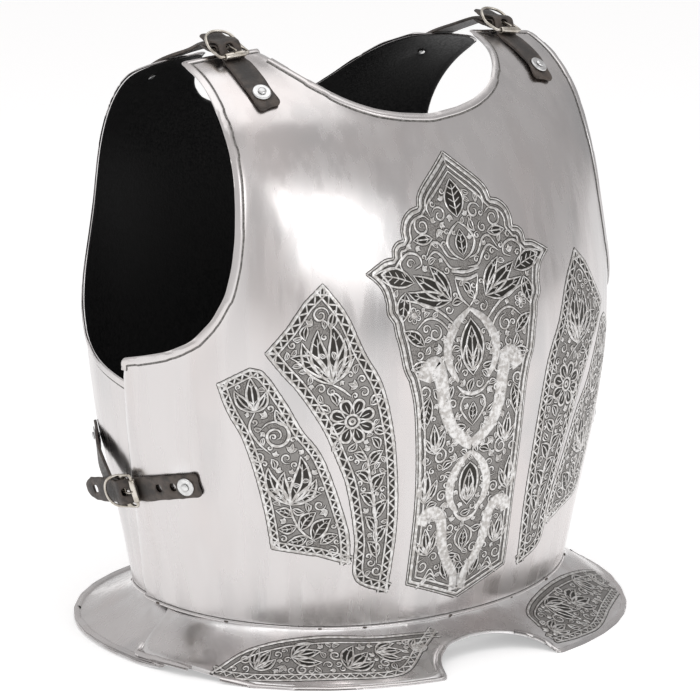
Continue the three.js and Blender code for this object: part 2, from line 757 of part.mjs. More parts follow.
function rollerGeometry() {
  const half = ROLLER_LENGTH / 2;
  const wall = [
    new THREE.Vector2(ROLLER_BORE, -half),
    new THREE.Vector2(ROLLER_RADIUS, -half),
    new THREE.Vector2(ROLLER_RADIUS, half),
    new THREE.Vector2(ROLLER_BORE, half),
    new THREE.Vector2(ROLLER_BORE, -half),
  ];
  return new THREE.LatheGeometry(wall, 8).rotateZ(Math.PI / 2);
}

// The prong: a loop round the bar, then straight out over the roller.
function prongGeometry() {
  const loop = WIRE + 0.3 + PRONG;
  const turns = [215, 250, 285, 320, 355, 390, 425, 455];
  const points = turns.map((turn) => {
    const angle = radians(turn);
    return new THREE.Vector3(0, BAR_AT + loop * Math.cos(angle), loop * Math.sin(angle));
  });
  points.push(new THREE.Vector3(0, 4, 3.6), new THREE.Vector3(0, -1.6, ROLLER_RADIUS + PRONG + 0.3));
  return tubeGeometry(points, PRONG, 5, false);
}

// A flat washer and a domed rivet, standing on z 0 of their seat, which is the strap's face.
function washerGeometry() {
  const wall = [
    new THREE.Vector2(WASHER_BORE, 0),
    new THREE.Vector2(WASHER_RADIUS, 0),
    new THREE.Vector2(WASHER_RADIUS - 0.6, WASHER_THICKNESS),
    new THREE.Vector2(WASHER_BORE, WASHER_THICKNESS),
    new THREE.Vector2(WASHER_BORE, 0),
  ];
  return new THREE.LatheGeometry(wall, 8).rotateX(Math.PI / 2);
}

function rivetGeometry() {
  const head = WASHER_THICKNESS + 0.3;
  const tail = -(LEATHER + CLEARANCE + SHEET + 1.1);
  const wall = [
    new THREE.Vector2(0, tail - 1.2),
    new THREE.Vector2(RIVET_TAIL, tail - 0.8),
    new THREE.Vector2(RIVET_TAIL, tail),
    new THREE.Vector2(RIVET_SHANK, tail),
    new THREE.Vector2(RIVET_SHANK, head),
    new THREE.Vector2(RIVET_HEAD, head),
    new THREE.Vector2(RIVET_HEAD * 0.7, head + 1.4),
    new THREE.Vector2(0, head + 2),
  ];
  return new THREE.LatheGeometry(wall, 6).rotateX(Math.PI / 2);
}

// ---------------------------------------------------------------- plans of the plates

const BREAST_PLAN = {
  side: BREAST_SIDE,
  arm: BREAST_ARM,
  shoulder: BREAST_SHOULDER,
  neck: BREAST_NECK,
  columns: 13,
  rows: 19,
  armColumn: 9,
  armRow: 8,
  armTurn: 0.29,
  neckColumn: 4,
  neckRow: 15,
  neckTurn: 0.62,
};
const BACK_PLAN = {
  side: BACK_SIDE,
  arm: BACK_ARM,
  shoulder: BACK_SHOULDER,
  neck: BACK_NECK,
  columns: 13,
  rows: 17,
  armColumn: 8,
  armRow: 7,
  armTurn: 0.42,
  neckColumn: 4,
  neckRow: 15,
  neckTurn: 0.45,
};

// ---------------------------------------------------------------- fastenings

const FLAT_LIFT = CLEARANCE + LEATHER / 2; // middle of a strap that lies on the breastplate
const BACK_LIFT = FLAT_LIFT - SHEET - LAP; // the same on the backplate
const STRAP_TOP = LEATHER / 2 + 0.3; // a washer's seat above the middle of the strap

// The two kinds of fastening on the wearer's left. Angles run round the trunk from the front.
const FASTENINGS = {
  shoulder: {
    roller: { angle: 33.4, level: 441 },
    towards: { angle: 34.2, level: 458 },
    billet: [
      { angle: 31.4, level: 384, lift: FLAT_LIFT },
      { angle: 32.3, level: 398, lift: FLAT_LIFT },
      { angle: 32.9, level: 415, lift: FLAT_LIFT },
    ],
    tail: [{ along: 35, up: 0.9 }],
    pointed: false,
    holes: [],
    chape: [
      { angle: 147.3, level: 462, lift: 0.5 },
      { angle: 147.2, level: 445, lift: 0 },
      { angle: 147.2, level: 428, lift: 0 },
      { angle: 147.2, level: 413, lift: BACK_LIFT + 0.9 },
      { angle: 147.2, level: 399, lift: BACK_LIFT + 0.2 },
      { angle: 147.2, level: 386, lift: BACK_LIFT + 0.2 },
    ],
  },
  side: {
    roller: { angle: 85.9, level: 97 },
    towards: { angle: 91.5, level: 94 },
    billet: [
      { angle: 64.4, level: 109.8, lift: FLAT_LIFT },
      { angle: 68.5, level: 107.5, lift: FLAT_LIFT },
      { angle: 73, level: 105, lift: FLAT_LIFT },
      { angle: 78, level: 102, lift: FLAT_LIFT },
    ],
    tail: [
      { along: 38, up: 0.9 },
      { along: 48, up: 0.7 },
      { along: 61, up: 0.4 },
    ],
    pointed: true,
    holes: [2, 3, 15],
    chape: [
      { angle: 101, level: 108, lift: 5 },
      { angle: 106, level: 115, lift: 2.5 },
      { angle: 110, level: 118, lift: BACK_LIFT + 0.3 },
      { angle: 113.2, level: 119, lift: BACK_LIFT },
      { angle: 117.4, level: 120.5, lift: BACK_LIFT },
    ],
  },
};

// ---------------------------------------------------------------- the cuirass

const STEEL = { color: 0xc4c1c4, roughness: 0.25, metalness: 1 };
const NICKEL = { color: 0xcfc3b0, roughness: 0.35, metalness: 1 };
const HIDE = { color: 0x2a2523, roughness: 0.75, metalness: 0 };

const cuirass = new THREE.Group();
function addPiece(name, geometry, finish, parent = cuirass) {
  const mesh = new THREE.Mesh(geometry, new THREE.MeshStandardMaterial(finish));
  mesh.name = name;
  parent.add(mesh);
}

const { shoulder: SHOULDER, side: SIDE } = FASTENINGS;
const rivetRow = (rows, back) => {
  const row = rows[back ? rows.length - 2 : 1];
  return { angle: back ? 180 - row.angle : row.angle, level: row.level };
};
const plateHoles = (back) => [SHOULDER, SIDE].map((f) => rivetRow(back ? f.chape : f.billet, back));

const frontBody = { plan: BREAST_PLAN, back: false, drop: 0, holes: plateHoles(false) };
const backBody = { plan: BACK_PLAN, back: true, drop: SHEET + LAP, holes: plateHoles(true) };
addPiece('breastplate', bodyPlate(frontBody), STEEL);
addPiece('backplate', bodyPlate(backBody), STEEL);

// The collars of the waist plates sink under the body plates and, at the sides, under each other.
const COLLAR_GAP = 0.5;
const frontWaist = {
  back: false,
  endAngle: FRONT_END_ANGLE,
  columns: 14,
  notchColumns: 5,
  flareRows: 2,
  bendBelow: BEND_BELOW,
  drop: (angle) => lerp(SHEET + COLLAR_GAP, 2 * (SHEET + LAP), smoothstep(angle, 64, 76)),
  rimZ: (angle) => END_RISE * smoothstep(angle, 50, 72),
  rimIn: (angle) => END_INSET * smoothstep(angle, 50, 72),
};
const backWaist = {
  back: true,
  endAngle: BACK_END_ANGLE,
  columns: 11,
  notchColumns: 0,
  flareRows: 2,
  bendBelow: BACK_BEND_BELOW,
  drop: (angle) => lerp(2 * SHEET + LAP + COLLAR_GAP, 3 * (SHEET + LAP), smoothstep(angle, 84, 94)),
  rimZ: () => 0,
  rimIn: () => 0,
};
addPiece('front_fauld', waistPlate(frontWaist), STEEL);
addPiece('back_fauld', waistPlate(backWaist), STEEL);

// A seat mirrored to the wearer's right, turned so that it stays right-handed.
function mirroredSeat(seat) {
  const column = (i) => new THREE.Vector3().setFromMatrixColumn(seat, i);
  const flip = (v) => new THREE.Vector3(-v.x, v.y, v.z);
  const basis = new THREE.Matrix4().makeBasis(flip(column(0)).negate(), flip(column(1)), flip(column(2)));
  return basis.setPosition(flip(column(3)));
}

for (const [place, fastening] of Object.entries(FASTENINGS)) {
  const { roller, towards } = fastening;
  const seat = seatOn(roller.angle, roller.level, ROLLER_LIFT, towards);
  const billetRows = onForm(fastening.billet);
  const weave = atBuckle(seat, [...BILLET_WEAVE, ...fastening.tail]);
  const hole = (station, reach) => ({ first: station, end: station, reach });
  const billetSlits = [hole(1, SLIT_WIDTH / 2), hole(billetRows.length + PRONG_HOLE, 3)];
  for (const station of fastening.holes) billetSlits.push(hole(station, SLIT_WIDTH / 2));
  const billet = strapGeometry([...billetRows, ...weave], billetSlits, fastening.pointed);
  const chapeStations = [...atBuckle(seat, CHAPE_FOLD), ...onForm(fastening.chape)];
  const chapeSlits = [FOLD_SLOT, hole(chapeStations.length - 2, SLIT_WIDTH / 2)];
  const chape = strapGeometry(chapeStations, chapeSlits, false);
  const rivets = [
    { end: 'front', row: fastening.billet[1] },
    { end: 'back', row: fastening.chape[fastening.chape.length - 2] },
  ];
  for (const hand of ['left', 'right']) {
    const onRight = hand === 'right';
    const shape = (cells) => sheetGeometry(onRight ? mirrorCells(cells) : cells);
    addPiece(`${place}_strap_front_${hand}`, shape(billet), HIDE);
    addPiece(`${place}_strap_back_${hand}`, shape(chape), HIDE);
    const buckle = new THREE.Group();
    buckle.applyMatrix4(onRight ? mirroredSeat(seat) : seat);
    addPiece(`${place}_buckle_frame_${hand}`, frameGeometry(), NICKEL, buckle);
    addPiece(`${place}_buckle_roller_${hand}`, rollerGeometry(), NICKEL, buckle);
    addPiece(`${place}_buckle_prong_${hand}`, prongGeometry(), NICKEL, buckle);
    cuirass.add(buckle);
    for (const { end, row } of rivets) {
      const beside = { angle: row.angle + 2, level: row.level };
      const spot = seatOn(row.angle, row.level, row.lift + STRAP_TOP, beside);
      const stack = new THREE.Group();
      stack.applyMatrix4(onRight ? mirroredSeat(spot) : spot);
      addPiece(`${place}_washer_${end}_${hand}`, washerGeometry(), NICKEL, stack);
      addPiece(`${place}_rivet_${end}_${hand}`, rivetGeometry(), NICKEL, stack);
      cuirass.add(stack);
    }
  }
}

export default cuirass;
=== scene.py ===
# %% [markdown]
# # A steel cuirass in Blender
# A cuirass is the trunk of a suit of armour: a breastplate and a backplate of sheet steel, closed
# by leather straps, and a flared waist plate below each. This lesson takes the solids of the part
# as its frame, and makes each of them into what the eye expects: smooth steel with turned edges,
# an etched front, worn leather and nickel-plated buckles.
#
# The first cell loads the frame. Every solid comes in at its place in metres, with +Z up, the
# chest towards -Y and the wearer's left at +X. `object_bounds` gives the box round the solids, and
# it is kept as `cad_box`. `bounds` gives the box that the finished piece has to stay in.

# %% The frame
import math
import random
import bpy
import bmesh
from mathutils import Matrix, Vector


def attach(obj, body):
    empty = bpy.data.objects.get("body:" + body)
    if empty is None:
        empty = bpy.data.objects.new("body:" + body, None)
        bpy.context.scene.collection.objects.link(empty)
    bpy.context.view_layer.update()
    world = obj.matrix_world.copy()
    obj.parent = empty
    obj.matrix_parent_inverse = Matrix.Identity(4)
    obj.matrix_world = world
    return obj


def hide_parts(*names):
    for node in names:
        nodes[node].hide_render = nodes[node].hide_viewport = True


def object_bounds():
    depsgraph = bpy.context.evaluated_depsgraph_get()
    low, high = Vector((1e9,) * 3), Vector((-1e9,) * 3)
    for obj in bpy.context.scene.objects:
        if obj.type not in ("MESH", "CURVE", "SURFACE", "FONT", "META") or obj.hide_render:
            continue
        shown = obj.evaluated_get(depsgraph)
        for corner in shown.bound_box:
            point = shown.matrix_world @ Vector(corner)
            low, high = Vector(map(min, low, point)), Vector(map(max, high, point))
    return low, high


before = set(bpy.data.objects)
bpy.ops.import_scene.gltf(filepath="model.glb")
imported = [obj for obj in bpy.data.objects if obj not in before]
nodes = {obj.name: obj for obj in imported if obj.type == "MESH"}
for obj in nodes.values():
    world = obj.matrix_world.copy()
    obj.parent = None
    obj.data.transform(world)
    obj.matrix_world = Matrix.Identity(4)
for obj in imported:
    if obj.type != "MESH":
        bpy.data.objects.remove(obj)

MM = 0.001
cad_box = [list(corner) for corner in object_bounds()]
low, high = cad_box
print("solids:", len(nodes), "size in mm:", [round((b - a) / MM) for a, b in zip(low, high)])


def deselect_all():
    bpy.ops.object.select_all(action="DESELECT")


def pick(obj):
    """Selects one object alone and makes it the active one, as a click would."""
    deselect_all()
    obj.select_set(True)
    bpy.context.view_layer.objects.active = obj


# %% [markdown]
# ## The camera
# The cuirass is seen from its right front and from a little above. A long lens far away keeps the
# sides nearly parallel, as in a museum picture. The camera sits on a sphere round a point inside
# the trunk, and two angles say where. The lamps are placed in the same way.

# %% Camera
TARGET = Vector((0, 0, 0.203))
CAMERA_TURN, CAMERA_RISE, CAMERA_DISTANCE = -36, 12.5, 2.31


def direction_at(turn, rise):
    """The way from the target to a place round it. The angles are in degrees."""
    turn, rise = math.radians(turn), math.radians(rise)
    return Vector((math.sin(turn) * math.cos(rise), -math.cos(turn) * math.cos(rise), math.sin(rise)))


bpy.ops.object.camera_add()
camera = bpy.context.object
camera.name = "camera"
back = direction_at(CAMERA_TURN, CAMERA_RISE)
camera.location = TARGET + back * CAMERA_DISTANCE
camera.rotation_euler = back.to_track_quat("Z", "Y").to_euler()
camera.data.lens = 161.6
camera.data.sensor_width = 36
camera.data.shift_x, camera.data.shift_y = 0.0014, -0.0171
camera.data.clip_end = 20
bpy.context.scene.camera = camera
print("camera at", [round(v, 2) for v in camera.location])

# %% [markdown]
# ## Floor and light
# Polished steel shows its surroundings more than itself, so the room is the most of the lighting.
# A white floor lights the plates from below, and the world gives an even pale grey that is darker
# on the wearer's left. One wide soft panel in front puts the bright band across the chest, and
# a second one above keeps the shoulders light.

# %% Floor and lights
bpy.ops.mesh.primitive_plane_add(size=60, location=(0, 0, 0))
floor = bpy.context.object
floor.name = "studio_floor"
paper = bpy.data.materials.new("white studio paper")
paper.use_nodes = True
sheet = paper.node_tree.nodes["Principled BSDF"]
for title, value in (("Base Color", (0.86, 0.86, 0.86, 1)), ("Roughness", 0.9),
                     ("Emission Color", (1, 1, 1, 1)), ("Emission Strength", 0.42)):
    sheet.inputs[title].default_value = value
floor.data.materials.append(paper)

world = bpy.data.worlds.new("studio")
bpy.context.scene.world = world
world.use_nodes = True
sky = world.node_tree
direction = sky.nodes.new("ShaderNodeTexCoord").outputs["Generated"]
split = sky.nodes.new("ShaderNodeSeparateXYZ")
sky.links.new(direction, split.inputs["Vector"])
shade = sky.nodes.new("ShaderNodeMapRange")
for title, value in (("From Min", -0.2), ("From Max", 0.9), ("To Min", 0.68), ("To Max", 0.50)):
    shade.inputs[title].default_value = value
sky.links.new(split.outputs["X"], shade.inputs["Value"])
sky.links.new(shade.outputs["Result"], sky.nodes["Background"].inputs["Strength"])
sky.nodes["Background"].inputs["Color"].default_value = (1.0, 0.985, 0.985, 1)


def add_panel(name, turn, rise, distance, size, power):
    """A soft panel on a sphere round the cuirass, facing it."""
    away = direction_at(turn, rise)
    bpy.ops.object.light_add(type="AREA", location=TARGET + away * distance)
    lamp = bpy.context.object
    lamp.name = name
    lamp.rotation_euler = away.to_track_quat("Z", "Y").to_euler()
    lamp.data.shape = "RECTANGLE"
    lamp.data.size, lamp.data.size_y = size
    lamp.data.energy = power


add_panel("lamp_front", 4, 19, 2.4, (1.5, 0.6), 6.5)
add_panel("lamp_above", 10, 84, 2.2, (2.6, 2.0), 14)
bpy.context.scene.view_settings.view_transform = "Standard"

# %% [markdown]
# ## Finishes
# Nothing on an old cuirass has one flat colour: the polish runs in faint streaks, the etched ground
# is grainy, and leather and nickel are worn where hands and straps rub them. Three effects are
# used again and again, so each is made once as a node group that only puts out a mask. Every
# material then decides for itself what the mask does.

# %% Shared effects
def new_effect(name, inputs, outputs):
    """An empty shader node group with number inputs and number outputs."""
    group = bpy.data.node_groups.new(name, "ShaderNodeTree")
    for title, value in inputs.items():
        socket = group.interface.new_socket(title, in_out="INPUT", socket_type="NodeSocketFloat")
        socket.default_value = value
    for title in outputs:
        group.interface.new_socket(title, in_out="OUTPUT", socket_type="NodeSocketFloat")
    return group, group.nodes.new("NodeGroupInput"), group.nodes.new("NodeGroupOutput")


def add_noise(tree, vector, scale, detail=3.0, stretch=None):
    """A noise texture on a vector, which may be stretched first. Gives the noise node."""
    noise = tree.nodes.new("ShaderNodeTexNoise")
    noise.inputs["Detail"].default_value = detail
    if stretch:
        mapping = tree.nodes.new("ShaderNodeMapping")
        mapping.inputs["Scale"].default_value = stretch
        tree.links.new(vector, mapping.inputs["Vector"])
        vector = mapping.outputs["Vector"]
    tree.links.new(vector, noise.inputs["Vector"])
    if isinstance(scale, (int, float)):
        noise.inputs["Scale"].default_value = scale
    else:
        tree.links.new(scale, noise.inputs["Scale"])
    return noise


def add_range(tree, value, low_in, high_in, low_out=0.0, high_out=1.0):
    """Turns values between two marks into values between two others, and holds them there."""
    step = tree.nodes.new("ShaderNodeMapRange")
    step.interpolation_type = "SMOOTHSTEP"
    marks = zip(("From Min", "From Max", "To Min", "To Max"), (low_in, high_in, low_out, high_out))
    for title, number in marks:
        step.inputs[title].default_value = number
    tree.links.new(value, step.inputs["Value"])
    return step.outputs["Result"]


polish, enter, leave = new_effect(
    "brushed polish", {"Streak Scale": 60, "Cloud Scale": 9}, ("Streaks", "Clouds", "Waves"))
place = polish.nodes.new("ShaderNodeTexCoord").outputs["Object"]
streaks = add_noise(polish, place, enter.outputs["Streak Scale"], 4, stretch=(1, 1, 0.06))
clouds = add_noise(polish, place, enter.outputs["Cloud Scale"], 4)
polish.links.new(add_range(polish, streaks.outputs["Fac"], 0.38, 0.62), leave.inputs["Streaks"])
polish.links.new(add_range(polish, clouds.outputs["Fac"], 0.36, 0.64), leave.inputs["Clouds"])
waves = add_noise(polish, place, enter.outputs["Cloud Scale"], 1)
polish.links.new(waves.outputs["Fac"], leave.inputs["Waves"])

grain, enter, leave = new_effect("fine grain", {"Grain Scale": 900}, ("Grain", "Pores"))
place = grain.nodes.new("ShaderNodeTexCoord").outputs["Object"]
specks = add_noise(grain, place, enter.outputs["Grain Scale"], 4)
pores = grain.nodes.new("ShaderNodeTexVoronoi")
grain.links.new(place, pores.inputs["Vector"])
grain.links.new(enter.outputs["Grain Scale"], pores.inputs["Scale"])
grain.links.new(add_range(grain, specks.outputs["Fac"], 0.34, 0.66), leave.inputs["Grain"])
grain.links.new(add_range(grain, pores.outputs["Distance"], 0.0, 0.75), leave.inputs["Pores"])

wear, enter, leave = new_effect("edge wear", {"Patch Scale": 120}, ("Wear",))
edge = wear.nodes.new("ShaderNodeAttribute")
edge.attribute_name = "edge"
place = wear.nodes.new("ShaderNodeTexCoord").outputs["Object"]
patches = add_noise(wear, place, enter.outputs["Patch Scale"])
product = wear.nodes.new("ShaderNodeMath")
product.operation = "MULTIPLY"
wear.links.new(edge.outputs["Fac"], product.inputs[0])
wear.links.new(add_range(wear, patches.outputs["Fac"], 0.35, 0.6, 0.25, 1), product.inputs[1])
wear.links.new(product.outputs["Value"], leave.inputs["Wear"])
print("effects:", [group.name for group in bpy.data.node_groups])

# %% [markdown]
# The steel itself is a Principled BSDF with Metallic at 1. Its colour is almost that of the room,
# so the interest is in the roughness, which follows the streaks, and in a very shallow bump that
# lets the reflections wander as they do on plate that was shaped with a hammer.

# %% Steel
def new_material(name, metallic=0.0):
    material = bpy.data.materials.new(name)
    material.use_nodes = True
    shader = material.node_tree.nodes["Principled BSDF"]
    shader.inputs["Metallic"].default_value = metallic
    return material, material.node_tree, shader


def use_effect(tree, group, **values):
    """Places a shared effect in a material with this material's own values."""
    user = tree.nodes.new("ShaderNodeGroup")
    user.node_tree = group
    for title, value in values.items():
        user.inputs[title.replace("_", " ")].default_value = value
    return user.outputs


def mix_colours(tree, mask, first, second):
    """A colour between two others. Each may be a plain colour or the outlet of a node."""
    mix = tree.nodes.new("ShaderNodeMix")
    mix.data_type = "RGBA"
    tree.links.new(mask, mix.inputs["Factor"])
    for title, colour in (("A", first), ("B", second)):
        socket = next(s for s in mix.inputs if s.name == title and s.type == "RGBA")
        if isinstance(colour, tuple):
            socket.default_value = (*colour, 1)
        else:
            tree.links.new(colour, socket)
    return next(s for s in mix.outputs if s.type == "RGBA")


def add_bump(tree, shader, height, strength, distance):
    bump = tree.nodes.new("ShaderNodeBump")
    bump.inputs["Strength"].default_value = strength
    bump.inputs["Distance"].default_value = distance
    tree.links.new(height, bump.inputs["Height"])
    tree.links.new(bump.outputs["Normal"], shader.inputs["Normal"])


def paint(tree, shader, colour, mask, smoothest, roughest):
    """Gives a material its colour, and a roughness that follows a mask."""
    tree.links.new(colour, shader.inputs["Base Color"])
    tree.links.new(add_range(tree, mask, 0, 1, smoothest, roughest), shader.inputs["Roughness"])


def grainy(name, metallic, scale, dark, pale, smoothest, roughest):
    """A dull finish that follows the fine grain. Gives the grain's masks too, for a bump."""
    material, tree, shader = new_material(name, metallic)
    specks = use_effect(tree, grain, Grain_Scale=scale)
    tone = mix_colours(tree, specks["Grain"], dark, pale)
    paint(tree, shader, tone, specks["Grain"], smoothest, roughest)
    return material, tree, shader, specks


steel, tree, shader = new_material("polished steel", metallic=1)
marks = use_effect(tree, polish, Streak_Scale=70, Cloud_Scale=10)
rubbed = use_effect(tree, wear, Patch_Scale=60)["Wear"]
stains = use_effect(tree, polish, Streak_Scale=25, Cloud_Scale=22)["Streaks"]
cool_or_warm = mix_colours(tree, marks["Clouds"], (0.57, 0.56, 0.56), (0.665, 0.625, 0.615))
tone = mix_colours(tree, stains, cool_or_warm, (0.68, 0.655, 0.65))
tone = mix_colours(tree, rubbed, tone, (0.78, 0.77, 0.77))
paint(tree, shader, tone, marks["Streaks"], 0.19, 0.29)
add_bump(tree, shader, marks["Waves"], 0.25, 0.004)

black, tree, shader, specks = grainy(
    "blackened inside", 0, 500, (0.0035, 0.0035, 0.004), (0.008, 0.0078, 0.0078), 0.4, 0.55)
shader.inputs["Specular IOR Level"].default_value = 0.25
add_bump(tree, shader, specks["Grain"], 0.12, 0.0003)
print("steel and its black inside are ready")

# %% [markdown]
# The straps are dyed leather, almost black, with a fine grain and paler edges where they have been
# pulled through the buckles. The fittings are nickel plate: the frames have gone a little warm,
# and the washers are paler.

# %% Leather and nickel
leather, tree, shader = new_material("dark strap leather")
skin = use_effect(tree, grain, Grain_Scale=850)
rubbed = use_effect(tree, wear, Patch_Scale=180)["Wear"]
dyed = mix_colours(tree, skin["Grain"], (0.011, 0.009, 0.008), (0.030, 0.024, 0.021))
dyed = mix_colours(tree, rubbed, dyed, (0.075, 0.058, 0.048))
paint(tree, shader, dyed, skin["Grain"], 0.36, 0.56)
add_bump(tree, shader, skin["Pores"], 0.35, 0.0004)


def plated(name, clean, stained, roughness):
    """Nickel plate that is stained in patches and scratched in fine streaks."""
    material, tree, shader = new_material(name, metallic=1)
    marks = use_effect(tree, polish, Streak_Scale=300, Cloud_Scale=140)
    tone = mix_colours(tree, marks["Clouds"], stained, clean)
    paint(tree, shader, tone, marks["Streaks"], roughness, roughness + 0.14)
    return material


nickel = plated("worn nickel", (0.68, 0.64, 0.58), (0.46, 0.42, 0.36), 0.2)
pale_nickel = plated("pale nickel", (0.80, 0.80, 0.80), (0.64, 0.64, 0.64), 0.24)
print("materials:", [m.name for m in bpy.data.materials])


# %% [markdown]
# ## The steel plates
# The solids are closed shells of flat faces. A copy of each is welded, its triangles are joined
# into four-sided faces, and a Subdivision Surface makes the flat faces one smooth sheet. The
# outside stays bright and the faces that look in at the wearer are blackened. Each vertex also
# keeps an "edge" value, which is 1 at a sharp turn and 0 elsewhere. The subdivision blends it, so
# it falls off beside the edge, and the wear reads it.

# %% Plates
WELD = 0.00002  # points closer than this are one, in metres
SHARP = math.radians(60)
LOOKS_IN = -0.3  # a face whose normal leans further from the way out than this is black
CHEST_HEIGHT = 0.25  # in metres
FLARE_LEAN = 1.6  # how much more a waist plate faces upwards than outwards


def dressed_copy(node, name):
    """A welded copy of a solid with its triangles joined to four-sided faces."""
    copy = nodes[node].copy()
    copy.data = nodes[node].data.copy()
    copy.name = name
    copy.data.name = name
    for key in list(copy.keys()):
        del copy[key]
    copy.parent = None
    bpy.context.collection.objects.link(copy)
    pick(copy)
    bpy.ops.object.mode_set(mode="EDIT")
    bpy.ops.mesh.select_all(action="SELECT")
    bpy.ops.mesh.remove_doubles(threshold=WELD)
    bpy.ops.mesh.tris_convert_to_quads(face_threshold=SHARP, shape_threshold=math.radians(80))
    bpy.ops.object.mode_set(mode="OBJECT")
    return copy


def round_off(piece):
    modifier = piece.modifiers.new("smooth form", "SUBSURF")
    modifier.levels = modifier.render_levels = 2
    pick(piece)
    bpy.ops.object.modifier_apply(modifier=modifier.name)
    bpy.ops.object.shade_smooth()


def sharp_lines(shape, turn):
    """The edges of a bmesh whose two faces meet at more than an angle."""
    return [line for line in shape.edges
            if len(line.link_faces) == 2 and line.calc_face_angle(0) > turn]


def mark_edges(piece, turn):
    """Stores an "edge" value of 1 on the vertices at a sharp turn."""
    shape = bmesh.new()
    shape.from_mesh(piece.data)
    marked = {vertex.index for line in sharp_lines(shape, turn) for vertex in line.verts}
    shape.free()
    store = piece.data.attributes.new("edge", "FLOAT", "POINT")
    for index in marked:
        store.data[index].value = 1.0


def finish_piece(piece, materials, node=None):
    """Gives a piece its materials and the body it rides on, and hides the solid it stands in for."""
    piece.data.materials.clear()
    for material in materials:
        piece.data.materials.append(material)
    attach(piece, "root")
    if node:
        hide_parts(node)


def outward_at(place, node):
    """The way out of the trunk at a place on a plate. Above the chest it leans upwards."""
    middle = Vector((0, 0, min(place.z, CHEST_HEIGHT)))
    way = (place - middle).normalized()
    return (way + Vector((0, 0, FLARE_LEAN))).normalized() if "fauld" in node else way


plates = {}
for node in ("breastplate", "backplate", "front_fauld", "back_fauld"):
    plate = dressed_copy(node, node + "_dressed")
    mark_edges(plate, SHARP)
    round_off(plate)
    finish_piece(plate, (steel, black), node)
    faces = plate.data.polygons
    for face in faces:
        face.material_index = int(face.normal.dot(outward_at(face.center, node)) < LOOKS_IN)
    plates[node] = plate
    print(node, "has", len(faces), "faces, of them black:", sum(face.material_index for face in faces))


# %% [markdown]
# ## Turned edges
# An armourer turns the edge of a plate back on itself, because a bare edge would cut the wearer.
# It shows as a narrow raised hem round the neck and the arms, with a dark line of painted shade
# where it ends, and as a thin bead along the rim of each waist plate. The edge of a plate is found
# in its solid: it is the chain of sharp edges beside the outer sheet. A strip is then laid along that
# chain.

# %% Edge chains
from mathutils.bvhtree import BVHTree

EDGE_TURN = math.radians(50)
FACES_OUT = 0.6  # how far the outer sheet's normal has to agree with the way out
CHAIN_STEP = 0.0025  # in metres
EASINGS = 4  # times that a chain's points are averaged with their neighbours


def skin_of(piece):
    mesh = piece.data
    return BVHTree.FromPolygons([v.co for v in mesh.vertices], [p.vertices for p in mesh.polygons])


def outer_edge(node):
    """The longest closed chain of sharp edges beside a plate's outer sheet, as a list of points."""
    shape = bmesh.new()
    shape.from_mesh(nodes[node].data)
    bmesh.ops.remove_doubles(shape, verts=shape.verts, dist=WELD)
    beside = {}
    for line in sharp_lines(shape, EDGE_TURN):
        outward = outward_at(line.verts[0].co, node)
        if max(face.normal.dot(outward) for face in line.link_faces) < FACES_OUT:
            continue
        for a, b in (tuple(line.verts), tuple(line.verts)[::-1]):
            beside.setdefault(a, []).append(b)
    chains, used = [], set()
    for start in beside:
        if start in used:
            continue
        chain, here = [], start
        while here is not None:
            chain.append(here)
            used.add(here)
            here = next((v for v in beside[here] if v not in used), None)
        chains.append([v.co.copy() for v in chain])
    shape.free()
    return max(chains, key=length_of)


def length_of(chain):
    return sum((a - b).length for a, b in zip(chain, chain[1:]))


def evenly(chain):
    """The chain's points a step apart, with its corners eased."""
    points = [chain[0]]
    for a, b in zip(chain, chain[1:]):
        parts = max(1, round((b - a).length / CHAIN_STEP))
        points += [a.lerp(b, k / parts) for k in range(1, parts + 1)]
    for _ in range(EASINGS):
        eased = [(a + b * 2 + c) / 4 for a, b, c in zip(points, points[1:], points[2:])]
        points = [points[0]] + eased + [points[-1]]
    return points


skins = {node: skin_of(plate) for node, plate in plates.items()}
chains = {node: evenly(outer_edge(node)) for node in plates}
for node, chain in chains.items():
    print(node, "edge of", round(length_of(chain) / MM), "mm")

# %% [markdown]
# All that is laid on the steel is made of rows of points, and each row is bridged to the one before
# it by four-sided faces. Three helpers do that for the strips here and for the ornament later on.

# %% Rows of points
def face_out(corners, points, away):
    """The corners of a face, in the order that makes it look away from the steel."""
    a, b, c = (points[k] for k in corners[:3])
    return corners if (b - a).cross(c - b).dot(away) > 0 else corners[::-1]


def bridge(faces, before, start, count, points, away):
    """Adds the faces between two rows, each given by the number of its first point."""
    for k in range(count):
        corners = [before + k, before + k + 1, start + k + 1, start + k]
        faces.append(face_out(corners, points, away))


def new_piece(name, points, faces):
    mesh = bpy.data.meshes.new(name)
    mesh.from_pydata(points, [], faces)
    piece = bpy.data.objects.new(name, mesh)
    bpy.context.collection.objects.link(piece)
    pick(piece)
    bpy.ops.object.shade_smooth()
    return piece


# %% [markdown]
# A strip's cross-section is a list of (distance from the edge, lift) in mm. The way into the plate
# is found by probing all round the edge for the nearest steel. Each point of the section goes that
# way and is then dropped onto the plate.

# %% Hems and beads
HEM = [(-0.3, -0.2), (0.2, 0.5), (1.3, 0.95), (2.6, 1.05), (3.9, 0.9), (4.7, 0.45), (5.0, 0.0)]
GROOVE = [(4.7, 0.22), (5.4, 0.20), (6.2, 0.20)]
SEAM = [(-1.0, -0.4), (-0.8, 0.5), (0.0, 0.95), (0.9, 0.6), (1.3, 0.0)]
SEAM_SHADE = [(1.2, 0.2), (1.9, 0.2)]
BEAD = [(-1.3, -0.6), (-1.4, 0.5), (-0.6, 1.4), (0.7, 1.7), (2.0, 1.4), (2.8, 0.6), (3.0, 0.0)]

PROBES, PROBE_REACH = 24, 0.006
DROP_FROM, DROP_REACH = 0.004, 0.009  # in metres
# The dark strips in the hems' grooves and along the waist seams are painted shade: flat dark strips
# laid where these recesses would fall into shade.
groove_and_seam_shade = grainy(
    "painted shade in grooves and seams", 0.4, 700, (0.08, 0.075, 0.07), (0.24, 0.23, 0.22), 0.4, 0.6)[0]


